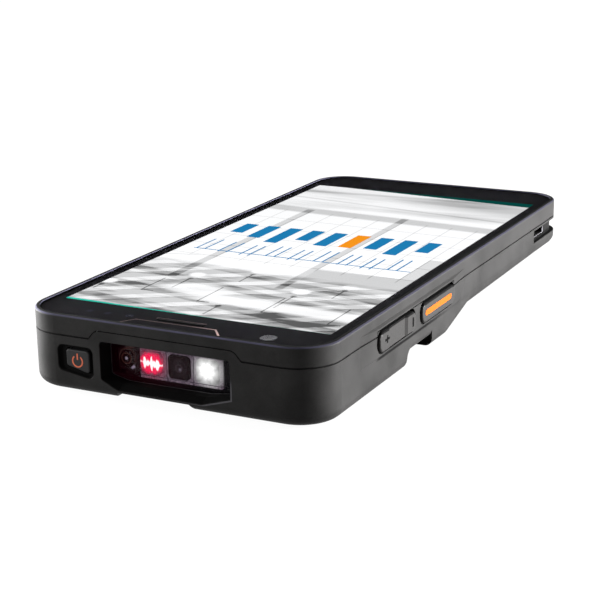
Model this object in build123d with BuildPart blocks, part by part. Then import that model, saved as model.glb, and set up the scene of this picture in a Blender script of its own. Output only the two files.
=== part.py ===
from build123d import *
import os

os.makedirs("parts", exist_ok=True)

# The terminal lies on its back. The screen faces +Z, the scan port faces -Y, the volume rocker is on +X.
# Origin: centre of the footprint, at the lowest face of the scanner head.

# ---- overall body
BODY_W = 78.0
BODY_L = 165.0
BODY_H = 18.3
CORNER_R = 9.8
WALL = 1.8
FIT = 0.2  # assembly clearance between fitted pieces
SEAM_GAP = 0.25
SMALL_R = 0.5  # corners of the small bought parts
BOX_R = 1.0  # corners of the sound parts
RIM_EDGE_R = 0.6
HALF_W = BODY_W / 2
FRONT_Y = -BODY_L / 2
END_Y = BODY_L / 2
INNER_X = HALF_W - WALL
GRID_X = BODY_W / 78  # one step of the layout across the body, 1 mm at this width

# ---- seam between the housings
SEAM_DROP = 4.75
SCAN_TAB_RISE = 2.25
SCAN_TAB_HALF = 17.9 * GRID_X
SCAN_TAB_FOOT = 2.0
SCAN_TAB_ROOT = 1.0
SCAN_TAB_R = 2.4
KEY_TAB_RISE = 1.3

# ---- stack under the rim
RIM_H = 0.2
RIM_T = 1.1
GLASS_T = 1.1
GLASS_EDGE = 0.2
GLASS_FIT = 0.1
ADHESIVE_T = 0.2
ADHESIVE_W = 1.6
LEDGE_T = 1.6
PANEL_T = 1.6
FRAME_T = 1.0
FRAME_NOTCH = 2.6
GLASS_TOP = BODY_H - RIM_H
GLASS_Z = GLASS_TOP - GLASS_T
LEDGE_Z = GLASS_Z - ADHESIVE_T
FRAME_TOP = LEDGE_Z - LEDGE_T
FRAME_Z = FRAME_TOP - FRAME_T

# ---- screen
SCREEN_SIDE = 4.9  # dark border beside the picture
SCREEN_NEAR = 13.2  # dark border at the scan port's end
SCREEN_FAR = 15.5
PANEL_MARGIN = 1.0
PANEL_CHIN = 4.4
OPENING_GAP = 0.3
PANEL_W = BODY_W - 2 * SCREEN_SIDE + 2 * PANEL_MARGIN
PANEL_Y0 = FRONT_Y + SCREEN_NEAR - PANEL_MARGIN
PANEL_Y1 = END_Y - SCREEN_FAR + PANEL_CHIN

# ---- back profile, seen from the side
HEAD_L = 47.4
GROOVE_L = 14.1
RIDGE_L = 10.3
SLOPE_L = 13.9
HEAD_Y = FRONT_Y + HEAD_L
GROOVE_T = 14.5  # depth of the body at the finger groove
GROOVE_Z = BODY_H - GROOVE_T
RIDGE_Y0 = HEAD_Y + GROOVE_L
RIDGE_Y1 = RIDGE_Y0 + RIDGE_L
RIDGE_Z = 1.2
SLOPE_Y = RIDGE_Y1 + SLOPE_L
TAIL_T = 13.5  # depth of the thin part at the slope and at the far end
TAIL_END_T = 12.9
TAIL_Z = BODY_H - TAIL_T
TAIL_END_Z = BODY_H - TAIL_END_T
HEAD_EDGE_R = 2.6
GROOVE_EDGE_R = 1.8
RIDGE_EDGE_R = 2.0
CREST_R = 6.0
TAIL_EDGE_R = 2.5
STEP_EDGE_R = 1.8
COVE_R = 1.9  # rounded inner corner between the head and the finger groove
FLOOR_T = 2.0
FLOOR_LAP = 1.0  # inner walls start this deep in the floor

# ---- channel in the head's back face, in front of the rear camera
CHANNEL_X0 = -13.4
CHANNEL_X1 = 6.8
CHANNEL_L = 37.5
CHANNEL_Y1 = FRONT_Y + CHANNEL_L
CHANNEL_DEPTH = 1.5
CHANNEL_DRAFT = 1.5
CHANNEL_FLOOR = CHANNEL_DEPTH + WALL

# ---- scan port
PORT_HALF = 16.9 * GRID_X
PORT_TOP_DROP = 5.0
PORT_SIDE_Z = 4.2
PORT_SILL_Z = 1.95
PORT_SILL_X0 = -12.4 * GRID_X
PORT_SILL_X1 = 9.4 * GRID_X
PORT_DEPTH = 4.6
PORT_R = 0.9
PORT_IN_DROP = 6.0
PORT_FLOOR_Z = 3.1
BEVEL_DEPTH = 2.4
HOOD_WALL = 1.7
HOOD_ROOF = 1.7
HOOD_LAP = 0.3
WINDOW_T = 1.0
WINDOW_LAP = 1.1
GASKET_T = 0.4
PORT_TOP = BODY_H - PORT_TOP_DROP
PORT_IN_TOP = BODY_H - PORT_IN_DROP
WINDOW_Y = FRONT_Y + PORT_DEPTH
HOOD_Y = WINDOW_Y + GASKET_T + WINDOW_T + FIT

# ---- scan engine
ENGINE_W = 21.6 * GRID_X
ENGINE_D = 12.0
ENGINE_SET_BACK = 0.8
ENGINE_Y = HOOD_Y + ENGINE_SET_BACK
ENGINE_Z0 = CHANNEL_FLOOR + FIT
ENGINE_TOP_GAP = 1.1
ENGINE_H = PORT_IN_TOP - ENGINE_TOP_GAP - ENGINE_Z0
LENS_PLATE_T = 0.5
LENS_SIDE = 5.7
LENS_PITCH = 7.4 * GRID_X
LENS_CORNER_R = 1.1
LENS_BARREL_R = 1.7
LENS_DOME_H = 0.2
LED_DOME_R = 0.8
LED_DOME_PITCH = 2.3
AIMER_X = -14.0 * GRID_X
AIMER_R = 2.0
AIMER_W = 5.0
AIMER_D = 3.6
BRACKET_T = 0.5
BRACKET_FLANGE = 3.6
BRACKET_SET = 5.0
BRACKET_Y0 = ENGINE_Y + BRACKET_SET
BRACKET_L = 5.5
BRACKET_Y1 = BRACKET_Y0 + BRACKET_L
ENGINE_SCREW_R = 0.6
ENGINE_SCREW_HEAD_R = 1.2
ENGINE_SCREW_HEAD_H = 0.7
ENGINE_SCREW_L = 1.4
SEAT_L = 13.5
SEAT_Y1 = ENGINE_Y + SEAT_L

# ---- gasket between the metal frame and the rear housing
SEAL_W = 1.1
SEAL_DROP = 0.9
SEAL_SHELF_Z = FRAME_Z - SEAL_DROP
SEAL_SHELF_H = 1.5
SEAL_MARGIN = 0.6
SEAL_KEY_INSET = 6.3
SEAL_NARROW = HALF_W - SEAL_KEY_INSET
SEAL_SET = 9.9
SEAL_Y0 = FRONT_Y + SEAL_SET
SEAL_STEP = 0.4
SEAL_STEP_Y = SLOPE_Y + SEAL_STEP
SEAL_R = 8.0
SEAL_SIDE_GAP = 0.3
SEAL_END_GAP = 0.5

# ---- side keys: layers from the outer wall inwards
SURROUND = 0.5  # how far the key surround stands out of the side wall
SURROUND_DROP = 10.3
SURROUND_Z0 = BODY_H - SURROUND_DROP
SURROUND_TOP_DROP = 2.6
SURROUND_Z1 = BODY_H - SURROUND_TOP_DROP
SURROUND_RISE = 0.5
TAB_TUCK = 0.5  # the ends of the raised seam sit this far inside the key pockets
SURROUND_RAMP = 8.5  # the surround blends into the side wall over this length
KEY_PROUD = 0.5
POCKET_D = 1.2
POCKET_GAP = 0.7
POCKET_FOOT = 0.35  # the same gap below a side key
KEY_GAP = 0.25
KEY_H = 4.9
KEY_END_R = 2.0
KEY_EDGE_R = 0.45
FLANGE_T = 0.7
FLANGE_LAP = 0.8
FLANGE_GAP = 0.4
FLANGE_TOP_GAP = 0.3
BOOT_T = 0.6
BOOT_GAP = 0.5
BOOT_RIM = 0.8
SWITCH_T = 0.7
SWITCH_R = 1.7
SWITCH_RIM = 0.5
FLEX_T = 0.2
KEY_PLATE_T = 0.6
CHAMBER_WALL = 1.5
CHAMBER_LAP = 0.3
ROCKER_L = 20.9
ROCKER_LEAD = 19.2  # from the start of the rocker to the end of the head
ROCKER_Y0 = HEAD_Y - ROCKER_LEAD
ROCKER_Y1 = ROCKER_Y0 + ROCKER_L
ROCKER_PAD = 5.0
ROCKER_DISH = 0.45
FULCRUM_R = 0.45
ROCKER_SWITCH = 6.8
LEG_W = 4.0
LEG_FOOT = 2.6
KEY_SPACING = 4.0
TRIGGER_L = 21.1
TRIGGER_Y0 = ROCKER_Y1 + KEY_SPACING
TRIGGER_Y1 = TRIGGER_Y0 + TRIGGER_L
STRIPE_NEAR = 1.7
STRIPE_Y0 = TRIGGER_Y0 + STRIPE_NEAR
STRIPE_FAR = 2.6
STRIPE_Y1 = TRIGGER_Y1 - STRIPE_FAR
LEG_SETS = (0.3, 2.4, 14.4)
# near edge and floor level of each leg
BRACKET_LEGS = [
    (ROCKER_Y0 + LEG_SETS[0], FLOOR_T),
    (TRIGGER_Y0 + LEG_SETS[1], GROOVE_Z + WALL),
    (TRIGGER_Y0 + LEG_SETS[2], RIDGE_Z + FLOOR_T),
]
STRIPE_H = 1.5
STRIPE_DEPTH = 0.5
STRIPE_PROUD = 0.05

# ---- power key on the front face
POWER_PORT_GAP = 1.3
POWER_X0 = -26.2 * GRID_X
POWER_X1 = -(PORT_HALF + HOOD_WALL + POWER_PORT_GAP)
POWER_TOP_DROP = 8.0
POWER_DROP = 13.4
POWER_SLANT = 1.5
POWER_R = 0.8
POWER_RECESS = 0.1
POWER_FLANGE_LAP = 0.45
POWER_FLANGE_GAP = 0.3
POWER_BOOT_RIM = 0.5
POWER_EDGE_R = 0.35
POWER_PLATE_W = 7.6 * GRID_X
POWER_FOOT = 3.6
DISH_LEFT = 2.3
DISH_RIGHT = 1.15
DISH_X0 = POWER_X0 - DISH_LEFT
DISH_X1 = POWER_X1 + DISH_RIGHT
DISH_TOP_DROP = 6.95
DISH_DROP = 14.75
DISH_D = 0.9
DISH_R = 1.5
DISH_DRAFT = 0.4

# ---- strap eyes in the far corners
EYE_L = 26.4
EYE_Y0 = END_Y - EYE_L
EYE_DEPTH = 1.25
EYE_TOP_DROP = 5.5
EYE_DROP = 9.2
EYE_HOLE_SET = 2.3
EYE_HOLE_Y0 = EYE_Y0 + EYE_HOLE_SET
EYE_HOLE_L = 8.8
EYE_HOLE_DROP = 8.2
EYE_HOLE_Z0 = BODY_H - EYE_HOLE_DROP
EYE_HOLE_H = 2.7
EYE_IN_INSET = 7.8
EYE_IN_X = HALF_W - EYE_IN_INSET
EYE_LEG = 3.0
EYE_END_INSET = 10.5
EYE_END_X = HALF_W - EYE_END_INSET
EYE_POST_W = 1.0
EYE_POST_IN = EYE_END_X - EYE_POST_W

# ---- battery bay, pack and latch
BAY_SIDE = 9.5
BAY_HALF = HALF_W - BAY_SIDE
BAY_SET = 4.8
BAY_Y0 = SLOPE_Y + BAY_SET
BAY_END = 16.5
BAY_Y1 = END_Y - BAY_END
BAY_WALL = 1.2
BAY_R = 3.0
BAY_ROOF_DROP = 1.9
BAY_ROOF_Z = FRAME_Z - BAY_ROOF_DROP
BAY_ROOF_T = 0.8
PACK_TOP_GAP = 0.3
PACK_EDGE_R = 1.0
HOOK_X = 18.0 * GRID_X
HOOK_W = 6.0
HOOK_RISE = 2.4
HOOK_Z = TAIL_Z + HOOK_RISE
HOOK_H = 1.2
HOOK_REACH = 0.8
LATCH_HALF = 7.0
LATCH_L = 5.0
LATCH_SET = 2.3
LATCH_Y = BAY_Y1 + LATCH_SET
LATCH_TRAVEL = 2.2
LATCH_RAIL = 1.0
LATCH_RAIL_H = 0.9
LATCH_RISE = 2.35
LATCH_TOP = TAIL_END_Z + LATCH_RISE
LATCH_ROOF_T = 0.6
LATCH_SIDE = 1.2
LATCH_RIB = 0.35
LATCH_LAP = 1.0
LATCH_RIBS = 4
TONGUE_HALF = 4.0
TONGUE_DROP = 1.25
TONGUE_Z = LATCH_TOP - TONGUE_DROP
TONGUE_TIP = 0.5
RIB_GAP = 1.5
RUN_GAP = 0.15

# ---- housing screws
SCREW_SEAT_RISE = 2.0
SCREW_SEAT_Z = TAIL_END_Z + SCREW_SEAT_RISE
SCREW_R = 0.8
SCREW_HEAD_R = 1.5
SCREW_HEAD_H = 1.1
SCREW_TIP_Z = FRAME_Z - FIT
DRIVE_R = 0.75
DRIVE_D = 0.6
BOSS_R = 1.9
REAR_BOSS_R = 2.7
BOSS_SPLIT_DROP = 3.2
BOSS_SPLIT_Z = FRAME_Z - BOSS_SPLIT_DROP
THREAD_GAP = 0.05
HEAD_SCREW_SET = 7.3
HEAD_FOOT = 1.0
MID_SCREW_INSET = 3.8
MID_SCREW_SET = 4.2
FOOT_LAP = 0.1
END_SCREW_SET = 6.5
END_FOOT = 0.6
# x, y and foot of each boss
SCREW_SPOTS = [
    (30.8 * GRID_X, FRONT_Y + HEAD_SCREW_SET, HEAD_FOOT),
    (HALF_W - MID_SCREW_INSET, SLOPE_Y - MID_SCREW_SET, TAIL_Z - FOOT_LAP),
    (21.5 * GRID_X, END_Y - END_SCREW_SET, TAIL_END_Z + END_FOOT),
]

# ---- boards
BOARD_T = 0.8
BOARD_DROP = 2.6
BOARD_Z = FRAME_Z - BOARD_DROP
BOARD_SIDE = 8.2
BOARD_HALF = HALF_W - BOARD_SIDE
BOARD_SET = 22.5
BOARD_Y0 = FRONT_Y + BOARD_SET
BOARD_BAY_GAP = 2.4
BOARD_Y1 = BAY_Y0 - BOARD_BAY_GAP
SHIELD_H = 1.5
SHIELD_SETS = (16.0, 18.0, 44.0)
SHIELD_LS = (18.0, 22.0, 20.0)
# middle, width and length of each shield can
SHIELDS = [
    (-18.0 * GRID_X, BOARD_Y0 + SHIELD_SETS[0], 20.0 * GRID_X, SHIELD_LS[0]),
    (7.0 * GRID_X, BOARD_Y0 + SHIELD_SETS[1], 22.0 * GRID_X, SHIELD_LS[1]),
    (-14.0 * GRID_X, BOARD_Y0 + SHIELD_SETS[2], 26.0 * GRID_X, SHIELD_LS[2]),
]
BOARD_SCREW_INSET = 2.8
BOARD_SCREW_X = BOARD_HALF - BOARD_SCREW_INSET
BOARD_SCREW_SET = 4.0
BOARD_SCREW_END = 4.1
BOARD_SCREW_YS = (BOARD_Y0 + BOARD_SCREW_SET, BOARD_Y1 - BOARD_SCREW_END)
BOARD_SCREW_R = 0.6
BOARD_SCREW_HEAD_R = 1.1
BOARD_SCREW_HEAD_H = 0.6
BOARD_BOSS_R = 1.5
SHIELD_T = 0.2
SUB_BOARD_DROP = 2.45
SUB_BOARD_Z = FRAME_Z - SUB_BOARD_DROP
SUB_BOARD_SIDE = 13.0
SUB_BOARD_HALF = HALF_W - SUB_BOARD_SIDE
SUB_BOARD_GAP = 1.0
SUB_BOARD_END = 4.5
SUB_BOARD_Y1 = END_Y - SUB_BOARD_END
LINK_INSET = 4.0
LINK_X = SUB_BOARD_HALF - LINK_INSET
LINK_W = 8.0
LINK_DROP = 0.9
LINK_Z = FRAME_Z - LINK_DROP
LINK_LAP = 8.6
LINK_Y0 = BOARD_Y1 - LINK_LAP
LINK_REACH = 6.0
LINK_Y1 = BAY_Y1 + LINK_REACH
LINK_PLUG = 3.0
FLEX_INSET = 0.1
FLEX_BEND_Y = PANEL_Y1 - FLEX_INSET
FLEX_FOOT = 2.3
FLEX_FOOT_Y = FLEX_BEND_Y - FLEX_FOOT
FLEX_END = 5.3
FLEX_END_Y = FLEX_BEND_Y - FLEX_END
FLEX_W = 14.0
FLEX_SLOT = 1.0
ENGINE_FLEX_W = 9.4
ENGINE_FLEX_DROP = 3.5
ENGINE_FLEX_LEAD = 1.6
ENGINE_FLEX_SET = 0.5
ENGINE_FLEX_LAND = 3.5

# ---- plug between the main board and the battery
PLUG_HALF = 8.0
PLUG_NEAR = 7.0
PLUG_Y0 = BAY_Y0 - PLUG_NEAR
PLUG_FAR = 1.6
PLUG_Y1 = BAY_Y0 - PLUG_FAR
PLUG_H = 3.0
BLADES = 6
BLADE_PITCH = 2.0
BLADE_T = 0.5
BLADE_H = 1.2
BLADE_DROP = 2.2
BLADE_Z = BOARD_Z - BLADE_DROP
BLADE_REACH = 1.2
BLADE_TIP_Y = BAY_Y0 + BLADE_REACH
SOCKET_HALF = 6.2

# ---- charging port and contacts
USB_W = 9.0
USB_H = 3.2
USB_D = 7.0
USB_SHELL_T = 0.3
USB_TONGUE_W = 6.7
USB_TONGUE_T = 0.7
USB_TONGUE_R = 0.2
CONTACT_R = 1.0
CONTACT_SET = 3.5
CONTACT_Y = END_Y - CONTACT_SET
CONTACT_PITCH = 6.0
CONTACT_COUNT = 4
CONTACT_H = 2.8
CONTACT_TOP = TAIL_END_Z + CONTACT_H
CONTACT_FLANGE_R = 1.5

# ---- cameras, sensors and sound in the band above the screen
FRONT_CAM_X = 23.6 * GRID_X
FRONT_CAM_SET = 5.6
FRONT_CAM_Y = FRONT_Y + FRONT_CAM_SET
FRONT_CAM_SIDE = 6.4
FRONT_CAM_LENS_R = 1.9
FRONT_CAM_H = 4.4
FRONT_CAM_BORE = 0.8
EARPIECE_X = 0.6
EARPIECE_SET = 7.1
EARPIECE_Y = FRONT_Y + EARPIECE_SET
SLIT_W = 12.3
SLIT_H = 0.9
RECEIVER_SET = 6.4
RECEIVER_Y = FRONT_Y + RECEIVER_SET
RECEIVER_W = 12.0
RECEIVER_D = 6.0
RECEIVER_T = 1.7
MESH_T = 0.2
MESH_LAP = 0.6
SENSOR_XS = (-23.6 * GRID_X, -18.7 * GRID_X)
SENSOR_SET = 6.8
SENSOR_Y = FRONT_Y + SENSOR_SET
SENSOR_R = 1.0
SENSOR_BASE_W = 8.6
SENSOR_BASE_D = 4.0
SENSOR_BASE_T = 0.6
LED_X = -13.0 * GRID_X
LED_Y = EARPIECE_Y
LED_R = 0.7
LED_FLANGE_R = 1.1

# ---- rear camera, flash, speaker
REAR_CAM_X = -7.3
REAR_CAM_SET = 28.5
REAR_CAM_Y = FRONT_Y + REAR_CAM_SET
REAR_CAM_SIDE = 8.5
REAR_CAM_H = 4.6
REAR_CAM_LENS_R = 2.4
CAM_WINDOW_R = 3.6
CAM_WINDOW_T = 0.8
CAM_WINDOW_SET = 0.1
CAM_WINDOW_LAP = 0.7
FLASH_X = 1.8
FLASH_R = 1.5
FLASH_SIDE = 4.0
SPEAKER_X = 20.0 * GRID_X
SPEAKER_SET = 32.5
SPEAKER_Y = FRONT_Y + SPEAKER_SET
SPEAKER_W = 18.0 * GRID_X
SPEAKER_D = 13.0
SPEAKER_H = 4.2
SPEAKER_FRONT = 1.0
GRILLE_SLOTS = 5
GRILLE_PITCH = 2.2
GRILLE_SLOT_W = 1.0
GRILLE_SLOT_L = 9.0
GRILLE_W = GRILLE_SLOTS * GRILLE_PITCH
MIC_W = 3.0
MIC_T = 1.0
MIC_H = 2.2
MIC_HOLE_R = 0.5
MIC_END_X = -13.0
MIC_INSET = 11.0
MIC_SET = 20.5
MIC_FLOOR_SPOT = (HALF_W - MIC_INSET, FRONT_Y + MIC_SET)

# ---- motor, backup cell, antennas
MOTOR_R = 2.2
MOTOR_L = 11.0
MOTOR_INSET = 4.7
MOTOR_X = -(HALF_W - MOTOR_INSET)
MOTOR_SET = 14.0
MOTOR_Y = BAY_Y0 + MOTOR_SET
CELL_X = 16.0 * GRID_X
CELL_SET = 36.0
CELL_Y = BOARD_Y0 + CELL_SET
CELL_R = 3.4
CELL_H = 2.1
CELL_EDGE = 0.25
COIL_W = 52.0 * GRID_X
COIL_D = 7.0
COIL_BAND = 1.4
COIL_T = 0.3
ANTENNA_SET = 6.0
ANTENNA_Y0 = BAY_Y0 + ANTENNA_SET
ANTENNA_END = 16.0
ANTENNA_Y1 = BAY_Y1 - ANTENNA_END
ANTENNA_H = 4.0

# ---- levels and places worked out from the sizes above
SEAM_Z = BODY_H - SEAM_DROP
KEY_SEAM_Z = SEAM_Z + KEY_TAB_RISE
SCAN_SEAM_Z = SEAM_Z + SCAN_TAB_RISE
ENGINE_MID_Z = ENGINE_Z0 + ENGINE_H / 2
SEAL_WIDE = INNER_X - SEAL_SIDE_GAP
SEAL_Y1 = END_Y - WALL - SEAL_END_GAP
KEY_TOP_Z = KEY_SEAM_Z - POCKET_GAP
KEY_Z0 = KEY_TOP_Z - KEY_H
KEY_MID_Z = KEY_TOP_Z - KEY_H / 2
SURROUND_X = HALF_W + SURROUND
KEY_FACE_X = SURROUND_X + KEY_PROUD
FLANGE_X = INNER_X - FLANGE_GAP - FLANGE_T
BOOT_X = FLANGE_X - BOOT_GAP - BOOT_T
SWITCH_X = BOOT_X - SWITCH_T
FLEX_X = SWITCH_X - FLEX_T
KEY_PLATE_X = FLEX_X - KEY_PLATE_T
ROCKER_MID_Y = (ROCKER_Y0 + ROCKER_Y1) / 2
rocker_switch_ys = [ROCKER_MID_Y - ROCKER_SWITCH, ROCKER_MID_Y + ROCKER_SWITCH]
trigger_switch_ys = [(TRIGGER_Y0 + TRIGGER_Y1) / 2]
POWER_TOP = BODY_H - POWER_TOP_DROP
POWER_Z0 = BODY_H - POWER_DROP
POWER_FLANGE_Y = FRONT_Y + WALL + POWER_FLANGE_GAP
POWER_BOOT_Y = POWER_FLANGE_Y + FLANGE_T + BOOT_GAP
POWER_SWITCH_Y = POWER_BOOT_Y + BOOT_T
POWER_PLATE_Y = POWER_SWITCH_Y + SWITCH_T + FLEX_T
POWER_MID_X = (POWER_X0 + POWER_X1) / 2
POWER_MID_Z = (POWER_TOP + POWER_Z0) / 2
TAIL_SLOPE = (TAIL_END_Z - TAIL_Z) / (END_Y - SLOPE_Y)
SLOPE_RISE = (TAIL_Z - RIDGE_Z) / (SLOPE_Y - RIDGE_Y1)
PACK_TOP = BAY_ROOF_Z - PACK_TOP_GAP
LATCH_POCKET_Y1 = LATCH_Y + LATCH_L + LATCH_TRAVEL + 2 * RUN_GAP
LATCH_RAIL_Z = LATCH_TOP - LATCH_RAIL_H
TONGUE_TIP_Y = BAY_Y1 - FIT - LATCH_LAP
SUB_BOARD_Y0 = BAY_Y1 + BAY_WALL + SUB_BOARD_GAP
screw_spots = [(sign * x, y, foot) for x, y, foot in SCREW_SPOTS for sign in (-1, 1)]
key_zones = [
    (1, ROCKER_Y0 - POCKET_GAP + TAB_TUCK, TRIGGER_Y1 + POCKET_GAP - TAB_TUCK),
    (-1, TRIGGER_Y0 - POCKET_GAP + TAB_TUCK, TRIGGER_Y1 + POCKET_GAP - TAB_TUCK),
]
rocker, trigger = (ROCKER_Y0, ROCKER_Y1), (TRIGGER_Y0, TRIGGER_Y1)
# side, its name, its keys, the switches behind them and the legs of the bracket
side_keys = [
    (1, "right", [rocker, trigger], rocker_switch_ys + trigger_switch_ys, BRACKET_LEGS),
    (-1, "left", [trigger], trigger_switch_ys, BRACKET_LEGS[1:]),
]
USB_MID_Z = SUB_BOARD_Z - USB_H / 2
BRACKET_MID_Y = (BRACKET_Y0 + BRACKET_Y1) / 2
engine_screw_xs = [sign * (ENGINE_W / 2 + FIT + BRACKET_T + BRACKET_FLANGE / 2) for sign in (-1, 1)]
contact_xs = [CONTACT_PITCH * (n - (CONTACT_COUNT - 1) / 2) for n in range(CONTACT_COUNT)]
board_screw_spots = [(sign * BOARD_SCREW_X, y) for y in BOARD_SCREW_YS for sign in (-1, 1)]


def tail_z(y):
    """Height of the back face of the thin part at a place along Y."""
    return TAIL_Z + TAIL_SLOPE * (y - SLOPE_Y)


def keep(builder, name):
    """Label a finished piece and write it as its own file."""
    builder.part.label = name
    export_step(builder.part, f"parts/{name}.step")


def side_plane(x):
    """Plane at a distance x that is drawn in Y and Z and faces +X."""
    return Plane(origin=(x, 0, 0), x_dir=(0, 1, 0), z_dir=(1, 0, 0))


def front_plane(y):
    """Plane at a place y that is drawn in X and Z and faces -Y."""
    return Plane(origin=(0, y, 0), x_dir=(1, 0, 0), z_dir=(0, -1, 0))


def shape(*points):
    """Closed outline through the points, in the current sketch."""
    return Polygon(*points, align=None)


def bar(x0, x1, y0, y1, mode=Mode.ADD):
    """Rectangle between two corners, in the current sketch."""
    with Locations(((x0 + x1) / 2, (y0 + y1) / 2)):
        return Rectangle(abs(x1 - x0), abs(y1 - y0), mode=mode)


def body_outline(inset=0.0, mode=Mode.ADD):
    """Rounded outline of the body, moved inwards by inset, in the current sketch."""
    return RectangleRounded(BODY_W - 2 * inset, BODY_L - 2 * inset, CORNER_R - inset, mode=mode)


def keep_below(y):
    """Cut the current sketch back to the side of y nearer the scan port."""
    with Locations((0, y + BODY_L)):
        Rectangle(2 * BODY_W, 2 * BODY_L, mode=Mode.SUBTRACT)


def keep_above(y):
    """Cut the current sketch back to the side of y nearer the far end."""
    with Locations((0, y - BODY_L)):
        Rectangle(2 * BODY_W, 2 * BODY_L, mode=Mode.SUBTRACT)


def port_outline(top, floor, grow=0.0):
    """Outline of the scan port in X and Z, with a sill that dips in the middle."""
    half = PORT_HALF + grow
    shape(
        (-half, top + grow),
        (-half, PORT_SIDE_Z - grow),
        (PORT_SILL_X0, floor - grow),
        (PORT_SILL_X1, floor - grow),
        (half, PORT_SIDE_Z - grow),
        (half, top + grow),
    )
    fillet(vertices(), PORT_R)


def slanted_outline(x0, x1, top, bottom, grow, radius):
    """Four-sided outline in X and Z whose lower edge climbs away from the scan port."""
    shape(
        (x0 - grow, top + grow),
        (x0 - grow, bottom + POWER_SLANT - grow),
        (x1 + grow, bottom - grow),
        (x1 + grow, top + grow),
    )
    fillet(vertices(), radius)


def power_outline(grow=0.0, radius=POWER_R):
    """Outline of the power key, moved outwards by grow."""
    slanted_outline(POWER_X0, POWER_X1, POWER_TOP, POWER_Z0, grow, radius)


def seal_outline():
    """Outer edge of the gasket: narrow beside the side keys, wide round the battery bay."""
    shape(
        (-SEAL_NARROW, SEAL_Y0),
        (-SEAL_NARROW, SEAL_STEP_Y),
        (-SEAL_WIDE, SEAL_STEP_Y),
        (-SEAL_WIDE, SEAL_Y1),
        (SEAL_WIDE, SEAL_Y1),
        (SEAL_WIDE, SEAL_STEP_Y),
        (SEAL_NARROW, SEAL_STEP_Y),
        (SEAL_NARROW, SEAL_Y0),
    )
    fillet(vertices().group_by(Axis.Y)[-1], SEAL_R)


def seal_outline_inside(inset):
    """Cut the current sketch open inside the gasket line, inset from its outer edge."""
    with BuildSketch(mode=Mode.PRIVATE) as inside:
        seal_outline()
        offset(amount=-inset)
    add(inside.sketch, mode=Mode.SUBTRACT)


def key_outline(y0, y1, grow=0.0, low=0.0, top=0.0):
    """Side key outline in Y and Z, rounded at both ends, and moved out at its ends, foot and top."""
    height = KEY_H + low + top
    with Locations(((y0 + y1) / 2, KEY_MID_Z + (top - low) / 2)):
        RectangleRounded(y1 - y0 + 2 * grow, height, KEY_END_R + grow)


def flange_outline(y0, y1, grow=0.0):
    """Outline of a side key's retaining flange, which stays below the metal frame."""
    lap = FLANGE_LAP + grow
    bar(y0 - lap, y1 + lap, KEY_Z0 - lap, FRAME_Z - FLANGE_TOP_GAP)


def scan_tab_outline():
    """Outline of the step that lifts the seam over the scan port."""
    root = SCAN_TAB_HALF + SCAN_TAB_FOOT * (1 + SCAN_TAB_ROOT / SCAN_TAB_RISE)
    shape(
        (-root, SEAM_Z - SCAN_TAB_ROOT),
        (-SCAN_TAB_HALF, SCAN_SEAM_Z),
        (SCAN_TAB_HALF, SCAN_SEAM_Z),
        (root, SEAM_Z - SCAN_TAB_ROOT),
    )
    fillet(vertices().group_by(Axis.Y)[-1], SCAN_TAB_R)


def behind_back_face():
    """Outline in Y and Z of the space behind the sloped back face of the thin part."""
    near, far = SLOPE_Y - BAY_Y0, 2 * END_Y
    shape((near, -BODY_H), (near, tail_z(near)), (far, tail_z(far)), (far, -BODY_H))


# ================================================================ outer form of the rear housing
# It is the sum of four plain blocks, each with its own rounded lower edge, and the key surrounds.

with BuildPart() as head_block:
    with BuildSketch(Plane.XY):
        body_outline()
        keep_below(HEAD_Y + COVE_R)
    extrude(amount=SEAM_Z)
    with BuildSketch(side_plane(-HALF_W)):
        bar(HEAD_Y, HEAD_Y + 2 * COVE_R, -GROOVE_Z, GROOVE_Z)
        fillet(vertices().sort_by_distance((HEAD_Y, GROOVE_Z))[0], COVE_R)
    extrude(amount=BODY_W, mode=Mode.SUBTRACT)
    back_face = head_block.faces().sort_by(Axis.Z)[0]
    fillet(back_face.edges().sort_by(Axis.Y)[:-1], HEAD_EDGE_R)
    fillet(head_block.faces().sort_by(Axis.Z)[0].edges().sort_by(Axis.Y)[-1], STEP_EDGE_R)

with BuildPart() as groove_block:
    with BuildSketch(Plane.XY.offset(GROOVE_Z)):
        bar(-HALF_W, HALF_W, HEAD_Y - WALL, RIDGE_Y0 + WALL)
    extrude(amount=SEAM_Z - GROOVE_Z)
    fillet(groove_block.faces().sort_by(Axis.Z)[0].edges().filter_by(Axis.Y), GROOVE_EDGE_R)

with BuildPart() as ridge_block:
    with BuildSketch(side_plane(-HALF_W)):
        shape(
            (RIDGE_Y0, SEAM_Z),
            (RIDGE_Y0, RIDGE_Z),
            (RIDGE_Y1, RIDGE_Z),
            (BAY_Y0, TAIL_Z + (BAY_Y0 - SLOPE_Y) * SLOPE_RISE),
            (BAY_Y0, SEAM_Z),
        )
    extrude(amount=BODY_W)
    crest = ridge_block.edges().filter_by(Axis.X).group_by(Axis.Z)[0].sort_by(Axis.Y)[-1]
    fillet(crest, CREST_R)
    low_faces = [face for face in ridge_block.faces() if face.normal_at().Z < -0.3]
    long_edges = [edge for face in low_faces for edge in face.edges() if abs(edge.tangent_at(0.5).X) < 0.1]
    fillet(long_edges, RIDGE_EDGE_R)

with BuildPart() as tail_block:
    with BuildSketch(Plane.XY):
        body_outline()
        keep_above(SLOPE_Y - CREST_R)
    extrude(amount=SEAM_Z)
    with BuildSketch(side_plane(-HALF_W)):
        behind_back_face()
    extrude(amount=BODY_W, mode=Mode.SUBTRACT)
    low_face = tail_block.faces().sort_by(Axis.Z)[0]
    fillet(low_face.edges().sort_by(Axis.Y)[1:], TAIL_EDGE_R)

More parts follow.
